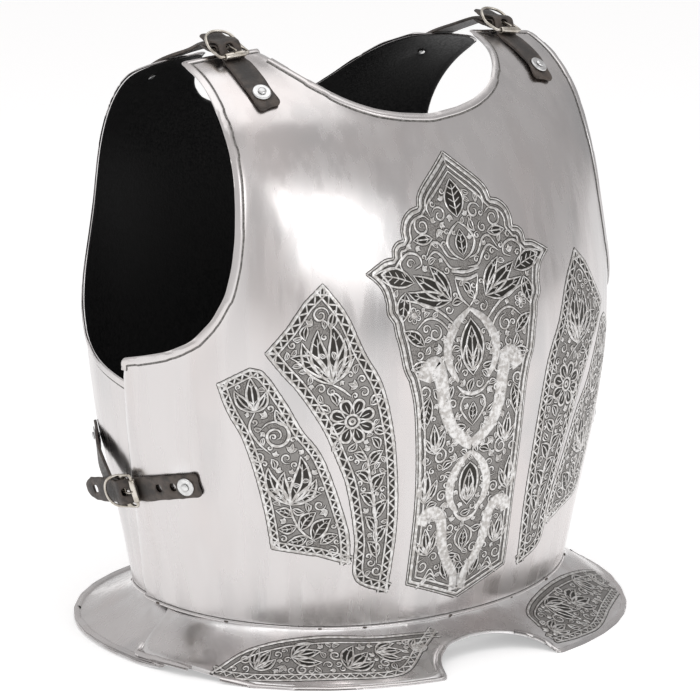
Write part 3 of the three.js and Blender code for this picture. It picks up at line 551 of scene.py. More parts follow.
def way_in(skin, place, ahead):
    """The direction, square to an edge, in which the steel is nearest."""
    first = ahead.orthogonal().normalized()
    second = ahead.cross(first)
    ways = []
    for k in range(PROBES):
        angle = math.tau * k / PROBES
        ways.append(first * math.cos(angle) + second * math.sin(angle))
    return min(ways, key=lambda way: skin.find_nearest(place + way * PROBE_REACH)[3])


def lay_strip(name, node, section, keep, material):
    """A strip along the parts of a plate's edge that a test keeps."""
    skin, chain = skins[node], chains[node]
    points, faces, before = [], [], None
    for i, p in enumerate(chain):
        ahead = (chain[min(i + 1, len(chain) - 1)] - chain[max(i - 1, 0)]).normalized()
        if not keep(p):
            before = None
            continue
        inward = way_in(skin, p, ahead)
        lean = inward.cross(ahead).normalized()
        if lean.dot(outward_at(p, node)) < 0:
            lean = -lean
        start = len(points)
        for reach, lift in section:
            spot = p + inward * (reach * MM)
            if reach > 0:
                spot = skin.ray_cast(spot + lean * DROP_FROM, -lean, DROP_REACH)[0] or spot
            points.append(spot + lean * (lift * MM))
        if before is not None:
            bridge(faces, before, start, len(section) - 1, points, lean)
        before = start
    finish_piece(new_piece(name, points, faces), [material])
    print(name, len(faces), "faces")


HEM_FROM = {"breastplate": 0.207, "backplate": 0.19}  # heights in metres
SEAM_BELOW, BEAD_BELOW = 0.036, 0.012
for node, above in HEM_FROM.items():
    lay_strip(node + "_hem", node, HEM, lambda p: p.z > above, steel)
    lay_strip(node + "_hem_groove", node, GROOVE, lambda p: p.z > above, groove_and_seam_shade)
    lay_strip(node + "_waist_seam", node, SEAM, lambda p: p.z < SEAM_BELOW, steel)
    lay_strip(node + "_waist_seam_shade", node, SEAM_SHADE, lambda p: p.z < SEAM_BELOW, groove_and_seam_shade)
for node in ("front_fauld", "back_fauld"):
    lay_strip(node + "_bead", node, BEAD, lambda p: p.z < BEAD_BELOW, steel)


# %% [markdown]
# The waist plates are tacked to the body with short welds, which have left small scorched lumps
# along the seam. One lump is modelled from a sphere, flattened in edit mode, and copied along the
# seam's chain with uneven gaps. The copies are then joined into one piece.

# %% Tack welds
TACKS_IN_A_SEAM = 9
TACK_RADIUS, TACK_SHAPE = 0.0017, (1.7, 1.0, 0.55)
scorched = grainy("scorched steel", 0.7, 600, (0.03, 0.024, 0.02), (0.20, 0.17, 0.15), 0.4, 0.65)[0]

deselect_all()
bpy.ops.mesh.primitive_uv_sphere_add(segments=14, ring_count=8, radius=TACK_RADIUS)
lump = bpy.context.object
bpy.ops.object.mode_set(mode="EDIT")
bpy.ops.transform.resize(value=TACK_SHAPE)
bpy.ops.object.mode_set(mode="OBJECT")
bpy.ops.object.shade_smooth()
lumps = []
spread = random.Random(8)
for node in ("breastplate", "backplate"):
    seam = [p for p in chains[node] if p.z < SEAM_BELOW]
    step = len(seam) // TACKS_IN_A_SEAM
    for k in range(step // 2, len(seam) - 1, step):
        k = min(len(seam) - 2, k + spread.randrange(-6, 7))
        copy = lump.copy()
        copy.data = lump.data.copy()
        bpy.context.collection.objects.link(copy)
        copy.location = seam[k]
        copy.rotation_euler = (seam[k + 1] - seam[k]).to_track_quat("X", "Z").to_euler()
        size = spread.uniform(0.7, 1.25)
        copy.scale = (size, size, size)
        lumps.append(copy)
bpy.data.objects.remove(lump)
deselect_all()
for copy in lumps:
    copy.select_set(True)
bpy.context.view_layer.objects.active = lumps[0]
bpy.ops.object.join()
bpy.ops.object.transform_apply(location=True, rotation=True, scale=True)
tacks = bpy.context.object
tacks.name = "tack_welds"
finish_piece(tacks, [scorched])
print("tack welds:", len(lumps))


# %% [markdown]
# ## The etched ornament
# On the real plate the pattern is drawn in wax, and acid eats the bare steel round it: the drawing
# stays bright and stands up a little, and the ground becomes grey and grainy. A picture on the
# steel would do for one view, but real relief catches the light from all sides, so the pattern is
# made as thin ridges.
#
# The ridges are drawn as an etcher would draw them, on a flat stencil held in front of the plate.
# Each point of the stencil is then pressed straight onto the steel: a ray goes from the point
# towards the plate, and a BVH tree, which sorts the faces by place, says where it lands.

# %% A stencil
from mathutils.kdtree import KDTree

CURVE_STEP = 1.5  # in mm, as all measures on a stencil


def spaced(points, closed=False):
    """A smooth curve through some points of a stencil, as points about a step apart."""
    points = [Vector(p) for p in points]
    count = len(points)
    curve = []
    for i in range(count if closed else count - 1):
        if closed:
            a, b, c, d = (points[(i + k) % count] for k in (-1, 0, 1, 2))
        else:
            b, c = points[i], points[i + 1]
            a = points[i - 1] if i else b * 2 - c
            d = points[i + 2] if i + 2 < count else c * 2 - b
        parts = max(1, round((c - b).length / CURVE_STEP))
        for k in range(parts):
            t = k / parts
            curve.append(((b * 2) + (c - a) * t + (a * 2 - b * 5 + c * 4 - d) * t ** 2
                          + (b * 3 - a - c * 3 + d) * t ** 3) / 2)
    curve.append(points[0] if closed else points[-1])
    return curve


def straight(points):
    """The same with sharp corners."""
    points = [Vector(p) for p in points]
    curve = []
    for b, c in zip(points, points[1:]):
        parts = max(1, round((c - b).length / CURVE_STEP))
        curve += [b.lerp(c, k / parts) for k in range(parts)]
    return curve + [points[-1]]


def sideways(curve, i):
    """The direction to the left of a curve at one of its points."""
    ahead = curve[min(i + 1, len(curve) - 1)] - curve[max(i - 1, 0)]
    if ahead.length < 1e-6:
        return Vector((0, 1))
    ahead.normalize()
    return Vector((-ahead.y, ahead.x))


def moved_over(curve, amount):
    """A curve beside another, to its left by an amount in mm, with its folds at corners cut off."""
    beside = [p + sideways(curve, i) * amount for i, p in enumerate(curve)]
    near = 0.9 * abs(amount)
    clear = [q for q in beside if min((q - p).length for p in curve) >= near]
    return clear if len(clear) > 2 else beside


class Stencil:
    """A flat sheet before the steel, with the strokes that are drawn on it in mm."""

    def __init__(self, skin, across, upward, left, right, seed, flipped=False):
        self.skin = skin
        self.flip = -1 if flipped else 1
        self.across, self.upward = Vector(across), Vector(upward)
        self.away = self.across.cross(self.upward)
        self.left, self.right = left, right
        self.strokes, self.shades = [], []
        self.chance = random.Random(seed)

    def press(self, point, lift):
        """The place on the steel under a point of the stencil, raised by a lift in mm."""
        start = self.across * (point[0] * self.flip * MM) + self.upward * (point[1] * MM) + self.away
        place, normal, _, _ = self.skin.ray_cast(start, -self.away)
        return None if place is None else place + normal * (lift * MM)

    def draw(self, curve, width=1.5, tapered=True, sort="line"):
        self.strokes.append((curve, width, tapered, sort))

    def line(self, points, width=1.5, tapered=True, closed=False, sort="line"):
        self.draw(spaced(points, closed=closed), width, tapered and not closed, sort)

    def pair(self, points, width=1.5, tapered=True, sort="line"):
        """A stroke and its reflection in the middle of the stencil."""
        self.line(points, width, tapered, sort=sort)
        self.line([(-x, z) for x, z in points], width, tapered, sort=sort)

    def shade(self, first, second):
        """A deeply etched patch between two curves that run the same way."""
        count = max(len(first), len(second))
        both = [[c[round(k * (len(c) - 1) / (count - 1))] for k in range(count)]
                for c in (first, second)]
        self.shades.append(list(zip(*both)))

    def extent(self, height):
        """Where the outline's left and right sides are at a height."""
        ends = []
        for side in (self.left, self.right):
            for (x0, z0), (x1, z1) in zip(side, side[1:]):
                if z1 <= height <= z0:
                    ends.append(x0 + (x1 - x0) * (z0 - height) / max(z0 - z1, 1e-6))
                    break
        return ends if len(ends) == 2 else None


print("a curve through three points:", len(spaced([(0, 0), (10, 5), (20, 0)])), "points")

# %% [markdown]
# Two meshes come from a stencil. The ground is a sheet of small four-sided faces between the two
# sides of the outline, a hair above the steel. Each stroke becomes a ridge: a flat dark foot, which is
# painted shade along the base of the line together with the etcher's blackening, and a domed bright
# top. The ridge's UV map runs across it from 0 to 1 and along it in centimetres, so a material can
# darken its feet with that painted shade and hatch its top.

# %% Ground and ridges
GROUND_LIFT, SHADE_LIFT = 0.04, 0.07
FOOT_LIFT, SHOULDER_LIFT, TOP_LIFT = 0.11, 0.11 + 0.04, 0.36
MM_IN_CM = 10
FOOT_WIDTH = {"line": 0.6, "band": 0.3}
WANDER = {"line": 0.10, "band": 0.025}  # share by which the hand makes a line wider or thinner
GROUND_STEP, RAG = 1.6, 0.3
TAPER_SHARE, THINNEST = 0.35, 0.3  # the part of a stroke that tapers, and how thin it ends


def lay_ground(stencil, name, columns):
    """A sheet of small faces between the outline's two sides, with slightly ragged ends."""
    points, faces, rows = [], [], []
    top, bottom = stencil.left[0][1], stencil.left[-1][1]
    count = round((top - bottom) / GROUND_STEP)
    for k in range(count + 1):
        height = top + (bottom - top) * k / count
        ends = stencil.extent(height)
        if not ends:
            continue
        rag = [stencil.chance.uniform(-RAG, RAG) for _ in ends]
        row = []
        for c in range(columns + 1):
            across = ends[0] + rag[0] + (ends[1] + rag[1] - ends[0] - rag[0]) * c / columns
            place = stencil.press((across, height), GROUND_LIFT)
            row.append(None if place is None else len(points))
            if place is not None:
                points.append(place)
        rows.append(row)
    for upper, lower in zip(rows, rows[1:]):
        for c in range(columns):
            corners = [lower[c], lower[c + 1], upper[c + 1], upper[c]]
            if None not in corners:
                faces.append(face_out(corners, points, stencil.away))
    ground = new_piece(name, points, faces)
    ground.data.validate()
    return ground


def half_width(width, i, count, tapered):
    """Half a stroke's width at one of its points. A width may be a pair, from start to end."""
    share = i / (count - 1)
    half = (width if isinstance(width, (int, float)) else width[0] + (width[1] - width[0]) * share) / 2
    if tapered:
        end = min(i, count - 1 - i) / max(3.0, count * TAPER_SHARE)
        half *= THINNEST + (1 - THINNEST) * min(1.0, end) ** 0.7
    return half


def raise_ridges(stencil, name):
    """One mesh of all strokes and deep patches. Material 0 is a line's, 1 a band's, 2 a patch's."""
    points, faces, uv, sorts = [], [], [], []

    def add_rows(rows, sort):
        """Bridges the rows of (place, uv) pairs. A row is None where the steel ends."""
        before = None
        for row in rows:
            if row is None:
                before = None
                continue
            start = len(points)
            points.extend(place for place, _ in row)
            uv.extend(pair for _, pair in row)
            if before is not None:
                bridge(faces, before, start, len(row) - 1, points, stencil.away)
                sorts.extend([sort] * (len(row) - 1))
            before = start

    def pressed(spots):
        """A row of spots, each a point, a lift and a uv, or None if one misses the steel."""
        row = []
        for point, lift, pair in spots:
            place = stencil.press(point, lift)
            if place is None:
                return None
            row.append((place, pair))
        return row

    for curve, width, tapered, sort in stencil.strokes:
        foot, along, rows = FOOT_WIDTH[sort], 0.0, []
        for i, p in enumerate(curve):
            if i:
                along += (p - curve[i - 1]).length
            half = half_width(width, i, len(curve), tapered)
            side = sideways(curve, i)
            wander = 1 + stencil.chance.uniform(-1, 1) * WANDER[sort]
            # The flat foot at each side of the dome carries the painted shade along the base of the
            # line.
            dome = ((half + foot, FOOT_LIFT, 0), (half, SHOULDER_LIFT, 0.16),
                    (half * 0.5, TOP_LIFT, 0.34), (-half * 0.5, TOP_LIFT, 0.66),
                    (-half, SHOULDER_LIFT, 0.84), (-half - foot, FOOT_LIFT, 1))
            rows.append(pressed([(p + side * reach * wander, lift, (u, along / MM_IN_CM))
                                 for reach, lift, u in dome]))
        add_rows(rows, int(sort == "band"))
    for pairs in stencil.shades:
        add_rows([pressed([(a.lerp(b, k / 3), SHADE_LIFT, (0, 0)) for k in range(4)])
                  for a, b in pairs], 2)

    ridges = new_piece(name, points, faces)
    ridges.data.polygons.foreach_set("material_index", sorts)
    layer = ridges.data.uv_layers.new(name="ridge")
    for loop in ridges.data.loops:
        layer.data[loop.index].uv = uv[loop.vertex_index]
    ridges.data.validate()
    return ridges


# %% [markdown]
# The etcher's motifs come back all over the plate: leaves with veins, flames of several tongues,
# scrolls, flowers and fans of fingers. Each is a helper that draws strokes on a stencil from a few
# numbers. The room that is left between them is filled with small curls and sprigs, placed by
# chance but away from the middle line of every stroke, as an etcher fills a ground by eye.

# %% Motifs
def on_axis(base, tip, shares):
    """Points given as shares along and beside the line from a base to a tip."""
    base, tip = Vector(base), Vector(tip)
    ahead = tip - base
    beside = Vector((-ahead.y, ahead.x))
    return [base + ahead * a + beside * b for a, b in shares]


def leaf(sheet, base, tip, fullness=0.22, bend=0.0, veins=3, width=1.3):
    """An almond leaf with a midrib and pairs of veins. Fullness and bend are shares of its length."""
    rims = []
    for side in (1, -1):
        rim = [(0, 0), (0.25, side * fullness * 0.8 + bend * 0.6), (0.55, side * fullness + bend),
               (0.82, side * fullness * 0.5 + bend * 0.7), (1, 0)]
        rims.append(spaced(on_axis(base, tip, rim)))
        sheet.draw(rims[-1], width)
    sheet.shade(*rims)
    sheet.line(on_axis(base, tip, [(0.05, 0), (0.45, bend), (0.85, bend * 0.5)]), width * 0.7)
    for k in range(veins):
        a = 0.22 + 0.5 * k / max(1, veins - 1)
        for side in (1, -1):
            vein = [(a, bend * 0.8), (a + 0.12, bend * 0.8 + side * fullness * 0.62)]
            sheet.line(on_axis(base, tip, vein), 0.8)


def flame(sheet, base, tips, fullness=0.16, bend=0.1, width=1.4):
    """Tongues that rise from one base, each bent a little away from the middle one."""
    middle = (len(tips) - 1) / 2
    for k, tip in enumerate(tips):
        lean = bend * (1 if k < middle else -1 if k > middle else 0)
        leaf(sheet, base, tip, fullness, lean, 2, width)


def around(centre, reach, angle):
    """The point at a distance from a centre, in the direction of an angle."""
    return centre[0] + reach * math.cos(angle), centre[1] + reach * math.sin(angle)


def scroll(sheet, centre, radius, start, turns=1.3, width=1.4):
    """A spiral that winds in from its start, given in degrees. Negative turns wind the other way."""
    count = max(6, round(abs(turns) * 12))
    points = []
    for k in range(count + 1):
        angle = math.radians(start) + turns * math.tau * k / count
        points.append(around(centre, radius * (1 - 0.78 * k / count), angle))
    sheet.line(points, width)


def fan(sheet, base, aim, size, fingers, spread, width):
    """A palmette: fingers that spread from a base round an aim in degrees."""
    for k in range(fingers):
        share = k / (fingers - 1) - 0.5
        tip = around(base, size * (1 - 0.55 * abs(share) ** 1.3), math.radians(aim + spread * share))
        leaf(sheet, base, tip, 0.17, -0.12 * (share > 0.1) + 0.12 * (share < -0.1), 0, width)


PETAL = [(0.36, -0.4), (0.68, -1), (0.93, -0.6), (1.0, 0), (0.93, 0.6), (0.68, 1), (0.36, 0.4)]


def flower(sheet, centre, radius, petals, width):
    """A flower seen from above. A petal is a list of shares of the radius and of its own spread."""
    for k in range(petals):
        aim = math.tau * (k + 0.5) / petals
        wide = math.pi / petals * 0.86
        ring = [around(centre, radius * r, aim + wide * s) for r, s in PETAL]
        sheet.line(ring, width)
        sheet.shade(spaced(ring[:4]), spaced(ring[3:])[::-1])
        sheet.line([around(centre, radius * r, aim) for r in (0.45, 0.62, 0.8)], 0.9)
    for size in (0.3, 0.12):
        heart = [around(centre, radius * size, k * math.tau / 9) for k in range(9)]
        sheet.line(heart, width, closed=True)


def zigzag(sheet, curve, reach, pitch=6.0):
    """A border of teeth between a curve and a line beside it."""
    teeth, run = [curve[0]], 0.0
    for i in range(1, len(curve)):
        run += (curve[i] - curve[i - 1]).length
        if run >= pitch / 2:
            run = 0.0
            teeth.append(curve[i] + sideways(curve, i) * (reach if len(teeth) % 2 else 0))
    sheet.draw(straight(teeth), 1.1, False)


def toothed_border(sheet, rims, line_at, dark, teeth_at, reach, pitch):
    """A border along rims, each with the way into the sheet: a rim line, an inner line and teeth
    on a dark strip between them. All are given by their distance from the rim."""
    for rim, way in rims:
        sheet.draw(moved_over(rim, way * 0.9), 2.0, False)
        sheet.draw(moved_over(rim, way * line_at), 1.2, False)
        sheet.shade(*(moved_over(rim, way * inset) for inset in dark))
        zigzag(sheet, moved_over(rim, way * teeth_at), way * reach, pitch)


SMALLEST_GAP, TRIES, LARGEST_FILLER = 2.6, 4200, 5.2


def fill_room(sheet, margin=7.0):
    """Small curls, leaves and sprigs wherever there is room between the strokes."""
    taken = [p for curve, *_ in sheet.strokes for p in curve]
    tree = KDTree(len(taken))
    for i, p in enumerate(taken):
        tree.insert((p[0], p[1], 0), i)
    tree.balance()
    added, chance = [], sheet.chance
    top, bottom = sheet.left[0][1], sheet.left[-1][1]
    for _ in range(TRIES):
        height = chance.uniform(bottom, top)
        ends = sheet.extent(height)
        if not ends or ends[1] - ends[0] < 2 * margin:
            continue
        p = Vector((chance.uniform(ends[0] + margin, ends[1] - margin), height))
        room = tree.find((p.x, p.y, 0))[2]
        if room < SMALLEST_GAP or any((p - q).length < SMALLEST_GAP + reach for q, reach in added):
            continue
        size = min(room * 0.95, LARGEST_FILLER)
        aim = chance.uniform(0, 360)
        way = Vector((math.cos(math.radians(aim)), math.sin(math.radians(aim))))
        sort = chance.randrange(3)
        if sort == 0:
            scroll(sheet, p, size * 0.8, aim, chance.choice((-1.1, 1.1)), 1.25)
        elif sort == 1:
            leaf(sheet, p - way * size, p + way * size, 0.26, chance.choice((-0.15, 0.15)), 0, 1.15)
        else:
            fan(sheet, p - way * size * 0.5, aim, size * 1.35, 3, 90, 1.1)
        added.append((p, size * 0.75))
    print("   filled with", len(added), "small motifs")


# %% [markdown]
# ### The middle panel
# It runs from below the neck to the waist, wider at the shoulder of its border than anywhere else.
# Its outline is a row of cusps, followed by two bright borders. In it, from the top: an arch with
# a leaf, a drop over a lotus and a cup, then almond shapes that are woven together by broad
# straps down to the waist. One half is given, and the other is its reflection.

# %% The middle panel
breast_skin = skins["breastplate"]
UPRIGHT = (0, 0, 1)
LOBES = [
    [(0, 356), (12, 346), (24, 336), (30, 329), (32, 322)],
    [(32, 322), (39, 320), (45, 315), (48, 308), (48, 301)],
    [(48, 301), (53, 300), (57, 296), (58, 290)],
    [(58, 290), (65, 289), (73, 285), (80, 281)],
    [(80, 281), (74, 276), (69, 269), (67, 260)],
    [(67, 260), (67, 253), (63, 246)],
    [(63, 246), (62, 238), (60, 230), (57, 214), (53, 205)],
    [(53, 205), (49, 186), (46, 150), (44, 112), (44, 64), (44, 54)],
    [(44, 54), (23, 46), (1, 37)],
]
MIDDLE_EDGE = [tuple(p) for lobe in LOBES for p in spaced(lobe)]
middle = Stencil(breast_skin, (1, 0, 0), UPRIGHT, [(-x, z) for x, z in MIDDLE_EDGE], MIDDLE_EDGE, 3)
rim = [Vector(p) for p in MIDDLE_EDGE]
for side in (1, -1):
    for inset, width in ((0.2, 0.9), (2.6, 2.3), (6.6, 1.5)):
        track = [Vector((max(0.0, p.x), p.y)) for p in moved_over(rim, -inset)]
        middle.draw([Vector((side * p.x, p.y)) for p in track], width, False)

middle.pair([(0, 343), (13, 332), (24, 322), (23, 315)], 1.8)
for side in (1, -1):
    scroll(middle, (side * 15, 315), 6, 90 - side * 70, side * 1.2, 1.6)
    scroll(middle, (side * 31, 309), 7.5, 90 + side * 60, -side * 1.5, 1.6)
    leaf(middle, (side * 24, 300), (side * 40, 300), 0.2, 0, 2)
leaf(middle, (0, 312), (0, 338), 0.3, 0, 4)
middle.pair([(0, 309), (7, 304), (12, 296), (8, 288), (0, 283)], 2.0)
leaf(middle, (0, 286), (0, 304), 0.26, 0, 3, 1.1)
middle.pair([(5, 284), (13, 287), (19, 296), (25, 297), (31, 289)], 1.7)
middle.pair([(3, 278), (12, 279), (18, 287), (24, 291), (32, 286)], 1.7)
middle.pair([(50, 277), (53, 286), (46, 292), (38, 290), (36, 284), (42, 281)], 1.7)
middle.line([(-12, 277), (0, 275), (12, 277)], 2.2, False)
middle.line([(-10, 272), (0, 270), (10, 272)], 2.2, False)
middle.pair([(10, 271), (7, 259), (0, 251)], 1.8)
for side in (1, -1):
    leaf(middle, (side * 44, 272), (side * 74, 280), 0.2, side * 0.04, 4)
    flame(middle, (side * 15, 257), [(side * 30, 282), (side * 44, 277), (side * 50, 266)],
          0.15, side * 0.06)
    leaf(middle, (side * 52, 266), (side * 57, 246), 0.24, 0, 3)
    leaf(middle, (side * 40, 228), (side * 56, 240), 0.2, side * 0.05, 3)
    leaf(middle, (side * 52, 213), (side * 36, 216), 0.2, 0, 3)
    flower(middle, (side * 47, 250), 5.5, 6, 1.1)
    scroll(middle, (side * 31, 236), 6, 90, side * 1.3)
    scroll(middle, (side * 41, 196), 5, -90, -side * 1.3)
middle.pair([(56, 262), (42, 258), (28, 252), (17, 243), (11, 236)], 1.8)
middle.pair([(46, 240), (38, 246), (30, 246), (22, 240), (15, 228)], 1.6)
print("strokes in the upper half:", len(middle.strokes))

# %% [markdown]
# The broad straps stay bright over their whole width, with only fine hatching on them, so they
# are drawn as a second sort of stroke, the band.

# %% Straps and almonds of the middle panel
middle.pair([(0, 250), (13, 240), (21, 226), (20, 212), (13, 200)], 7.5, sort="band")
middle.pair([(42, 204), (38, 212), (31, 214), (27, 201), (24, 182), (18, 168), (8, 158), (0, 153)],
            (13, 9), False, sort="band")
middle.pair([(0, 148), (10, 139), (16, 126), (15, 113), (8, 103)], 7.5, sort="band")
middle.pair([(38, 98), (35, 105), (27, 106), (21, 98), (18, 80), (12, 66), (5, 55), (4, 43)],
            (10, 7), False, sort="band")
middle.pair([(0, 243), (7, 234), (10, 224), (7, 212), (0, 203)], 1.6)
middle.pair([(0, 140), (6, 134), (8, 125), (6, 115), (0, 108)], 1.6)
for top, tall in ((243, 40), (140, 32)):
    half = spaced([(wide, top - tall * share)
                   for wide, share in ((0, 0), (6, 0.25), (9, 0.5), (6, 0.8), (0, 1))])
    middle.shade(half, [Vector((-p.x, p.y)) for p in half])
flame(middle, (0, 206), [(-5, 226), (0, 238), (5, 226)], 0.17)
flame(middle, (0, 111), [(-3, 124), (0, 135), (3, 124)], 0.17)
middle.line([(-14, 197), (-8, 192), (0, 190), (8, 192), (14, 197)], 3.0, sort="band")
middle.line([(-11, 104), (-6, 99), (0, 97), (6, 99), (11, 104)], 3.0, sort="band")
middle.pair([(1, 187), (8, 188), (11, 181), (6, 173), (0, 167)], 1.6)
leaf(middle, (0, 170), (0, 184), 0.25, 0, 3, 1.0)
middle.pair([(0, 93), (6, 88), (7, 81), (0, 73)], 1.5)
leaf(middle, (0, 74), (0, 90), 0.22, 0, 3, 1.0)
leaf(middle, (0, 46), (0, 64), 0.3, 0, 3, 1.1)
for side in (1, -1):
    leaf(middle, (side * 37, 192), (side * 41, 168), 0.2, side * 0.05, 4)
    flame(middle, (side * 31, 150), [(side * 24, 166), (side * 33, 172), (side * 41, 163)],
          0.15, side * 0.05)
    scroll(middle, (side * 27, 148), 6.5, 90 - side * 60, side * 1.5, 1.6)
    scroll(middle, (side * 38, 146), 4, 0, side * 1.2)
    flame(middle, (side * 37, 114), [(side * 28, 131), (side * 37, 139), (side * 42, 130)],
          0.15, side * 0.05)
    scroll(middle, (side * 23, 118), 4.5, 90 + side * 60, -side * 1.4)
    flame(middle, (side * 30, 74), [(side * 25, 92), (side * 34, 95), (side * 41, 86)],
          0.15, side * 0.05)
    scroll(middle, (side * 33, 66), 5.5, 90, -side * 1.4)
    for reach in (4, 7.5, 11):
        middle.line([(side * (18 + reach * 0.3), 50 + reach * 0.6),
                     (side * (24 + reach * 0.2), 52 + reach * 1.0),
                     (side * 31, 51 + reach * 0.4), (side * 36, 49 + reach * 0.1)], 1.2)
    leaf(middle, (side * 10, 52), (side * 17, 68), 0.18, 0, 2, 1.0)
fill_room(middle)

# %% [markdown]
# ### The side panels
# Two panels follow on each side, like the ribs of a fan that open towards the shoulders. The inner
# one carries a flame of leaves over a large flower, and the outer one a scroll over a tulip.
# Their stencils stand turned, square to the part of the chest that they lie on. The panels of the
# wearer's left are pressed from the same drawings, flipped over.

# %% The inner side panels
def turned(degrees):
    """The direction across a stencil that is turned about the upright axis."""
    return (math.cos(math.radians(degrees)), math.sin(math.radians(degrees)), 0)


INNER_LEFT = [(-35, 277), (-48, 265), (-60, 248), (-75, 231), (-64, 217), (-52, 203), (-36, 178),
              (-26, 155), (-18, 132), (-12, 94), (-11, 63), (12, 50)]
INNER_RIGHT = [(-35, 277), (-19, 256), (-7, 230), (7, 203), (15, 166), (18, 125), (17, 91), (12, 50)]


def stem_leaves(sheet, veins, leaves):
    """Leaves along a stem, each given as (base, tip, bend)."""
    for base, tip, bend in leaves:
        leaf(sheet, base, tip, 0.24, bend, veins)


def draw_inner(turn, flipped, seed):
    """A flame of leaves over a large flower and a stem, inside a toothed border."""
    sheet = Stencil(breast_skin, turned(turn), UPRIGHT, INNER_LEFT, INNER_RIGHT, seed, flipped)
    rims = [(spaced(INNER_LEFT[3:]), 1), (spaced(INNER_RIGHT), -1), (straight(INNER_LEFT[:4]), 1)]
    toothed_border(sheet, rims, 6.6, (1.6, 6.4), 1.8, 4.0, 6.0)
    scroll(sheet, (-37, 256), 6, 0, 1.4)
    leaf(sheet, (-30, 246), (-27, 259), 0.22, 0, 2)
    flame(sheet, (-29, 208), [(-50, 238), (-39, 246), (-30, 250), (-20, 240)], 0.14, 0.10, 1.6)
    leaf(sheet, (-30, 212), (-58, 228), 0.16, -0.10, 3)
    leaf(sheet, (-26, 210), (-12, 228), 0.18, 0.10, 3)
    sheet.line([(-29, 208), (-22, 204), (-16, 199)], 1.6)
    heart = Vector((-15, 181))
    flower(sheet, heart, 16, 8, 1.7)
    for tip in ((-36, 192), (3, 196), (6, 172), (-27, 163)):
        way = Vector(tip) - heart
        leaf(sheet, heart + way * 0.72, heart + way * 1.15, 0.3, 0.05, 2)
    sheet.line([(-10, 163), (-4, 152), (-2, 138), (1, 120), (3, 100), (4, 74)], 1.7)
    stem_leaves(sheet, 2, [
        ((-5, 152), (-14, 158), -0.1), ((-3, 148), (7, 158), 0.1), ((-2, 135), (-13, 144), -0.15),
        ((0, 128), (9, 141), 0.15), ((1, 117), (-9, 128), -0.15), ((2, 108), (11, 121), 0.15),
        ((2, 98), (-5, 110), -0.15), ((3, 89), (11, 102), 0.15), ((4, 78), (-3, 91), -0.15)])
    scroll(sheet, (4, 68), 5, 90, -1.3)
    fill_room(sheet, margin=8.5)
    return sheet


# %% [markdown]
# The outer panel is shorter, and its border also runs along the slanting foot.

# %% The outer side panels
OUTER_LEFT = [(-39, 221), (-62, 209), (-55, 190), (-45, 171), (-37, 145), (-31, 115), (-28, 89),
              (3, 83), (24, 75)]
OUTER_RIGHT = [(-39, 221), (-29, 217), (-15, 196), (-5, 177), (6, 161), (13, 143), (20, 117),
               (24, 97), (24, 75)]


def draw_outer(turn, flipped, seed):
    """A small flame and a scroll over a tulip, inside a toothed border."""
    sheet = Stencil(breast_skin, turned(turn), UPRIGHT, OUTER_LEFT, OUTER_RIGHT, seed, flipped)
    rims = [(spaced(OUTER_LEFT[1:7]), 1), (spaced(OUTER_RIGHT), -1),
            (straight(OUTER_LEFT[:2]), 1), (straight(OUTER_LEFT[6:]), 1)]
    toothed_border(sheet, rims, 5.6, (1.4, 5.4), 1.6, 3.4, 5.0)
    flame(sheet, (-36, 190), [(-50, 205), (-39, 214), (-28, 205)], 0.17, 0.1, 1.5)
    sheet.line([(-36, 190), (-40, 179), (-34, 168), (-26, 160)], 1.6)
    scroll(sheet, (-22, 173), 11, 150, -1.6, 2.0)
    leaf(sheet, (-14, 180), (-22, 192), 0.2, 0.1, 3)
    scroll(sheet, (-34, 158), 6, 60, 1.3)
    flame(sheet, (-14, 122), [(-28, 150), (-17, 147), (-6, 158), (4, 141)], 0.15, 0.12, 1.7)
    leaf(sheet, (-16, 124), (-29, 134), 0.2, -0.1, 3)
    leaf(sheet, (-11, 124), (7, 130), 0.2, 0.1, 3)
    sheet.line([(-14, 122), (-12, 112), (-7, 102), (2, 94)], 1.6)
    stem_leaves(sheet, 3, [
        ((-12, 113), (-24, 118), -0.1), ((-10, 106), (-23, 104), 0.1), ((-8, 103), (3, 116), 0.1),
        ((-3, 98), (-17, 94), 0.1), ((0, 95), (13, 111), 0.1), ((5, 92), (17, 98), 0.1)])
    scroll(sheet, (13, 86), 4.5, 120, -1.3)
    fill_room(sheet, margin=7.5)
    return sheet


panels = {"middle": middle}
panels["inner_right"] = draw_inner(-30, False, 11)
panels["inner_left"] = draw_inner(30, True, 12)
panels["outer_right"] = draw_outer(-45, False, 13)
panels["outer_left"] = draw_outer(44, True, 14)
print("panels:", list(panels))

# %% [markdown]
# ### The waist plate
# The flared plate below the waist has two etched areas of its own. Their stencils lie flat above
# it and are pressed straight down, with "upward" along the wearer's sides. They hold leaves and
# scrolls in a row, between a rim with teeth and a plain line.

# %% The waist plate's ornament
def draw_waist(left, right, stops, seed):
    """The stops are places along the strip for its leaves, as (across, upward, reach)."""
    sheet = Stencil(skins["front_fauld"], (0, -1, 0), (1, 0, 0), left, right, seed)
    for rim, way in ((spaced(left), 1), (spaced(right), -1)):
        sheet.draw(moved_over(rim, way * 1.0), 1.8, False)
        sheet.draw(moved_over(rim, way * 6.0), 1.1, False)
    zigzag(sheet, moved_over(spaced(right), -1.8), -3.8, 6)
    for k, (across, upward, reach) in enumerate(stops):
        lean = 1 if k % 2 else -1
        base, *tips, curl = [(across + lean * reach * a, upward + reach * b) for a, b in
                             ((-0.5, -0.6), (-0.7, 0.9), (0, 1), (0.7, 0.6), (0.55, -0.6))]
        flame(sheet, base, tips, 0.18, lean * 0.1, 1.5)
        scroll(sheet, curl, reach * 0.36, 90, lean * 1.4)
    fill_room(sheet, margin=6)
    return sheet


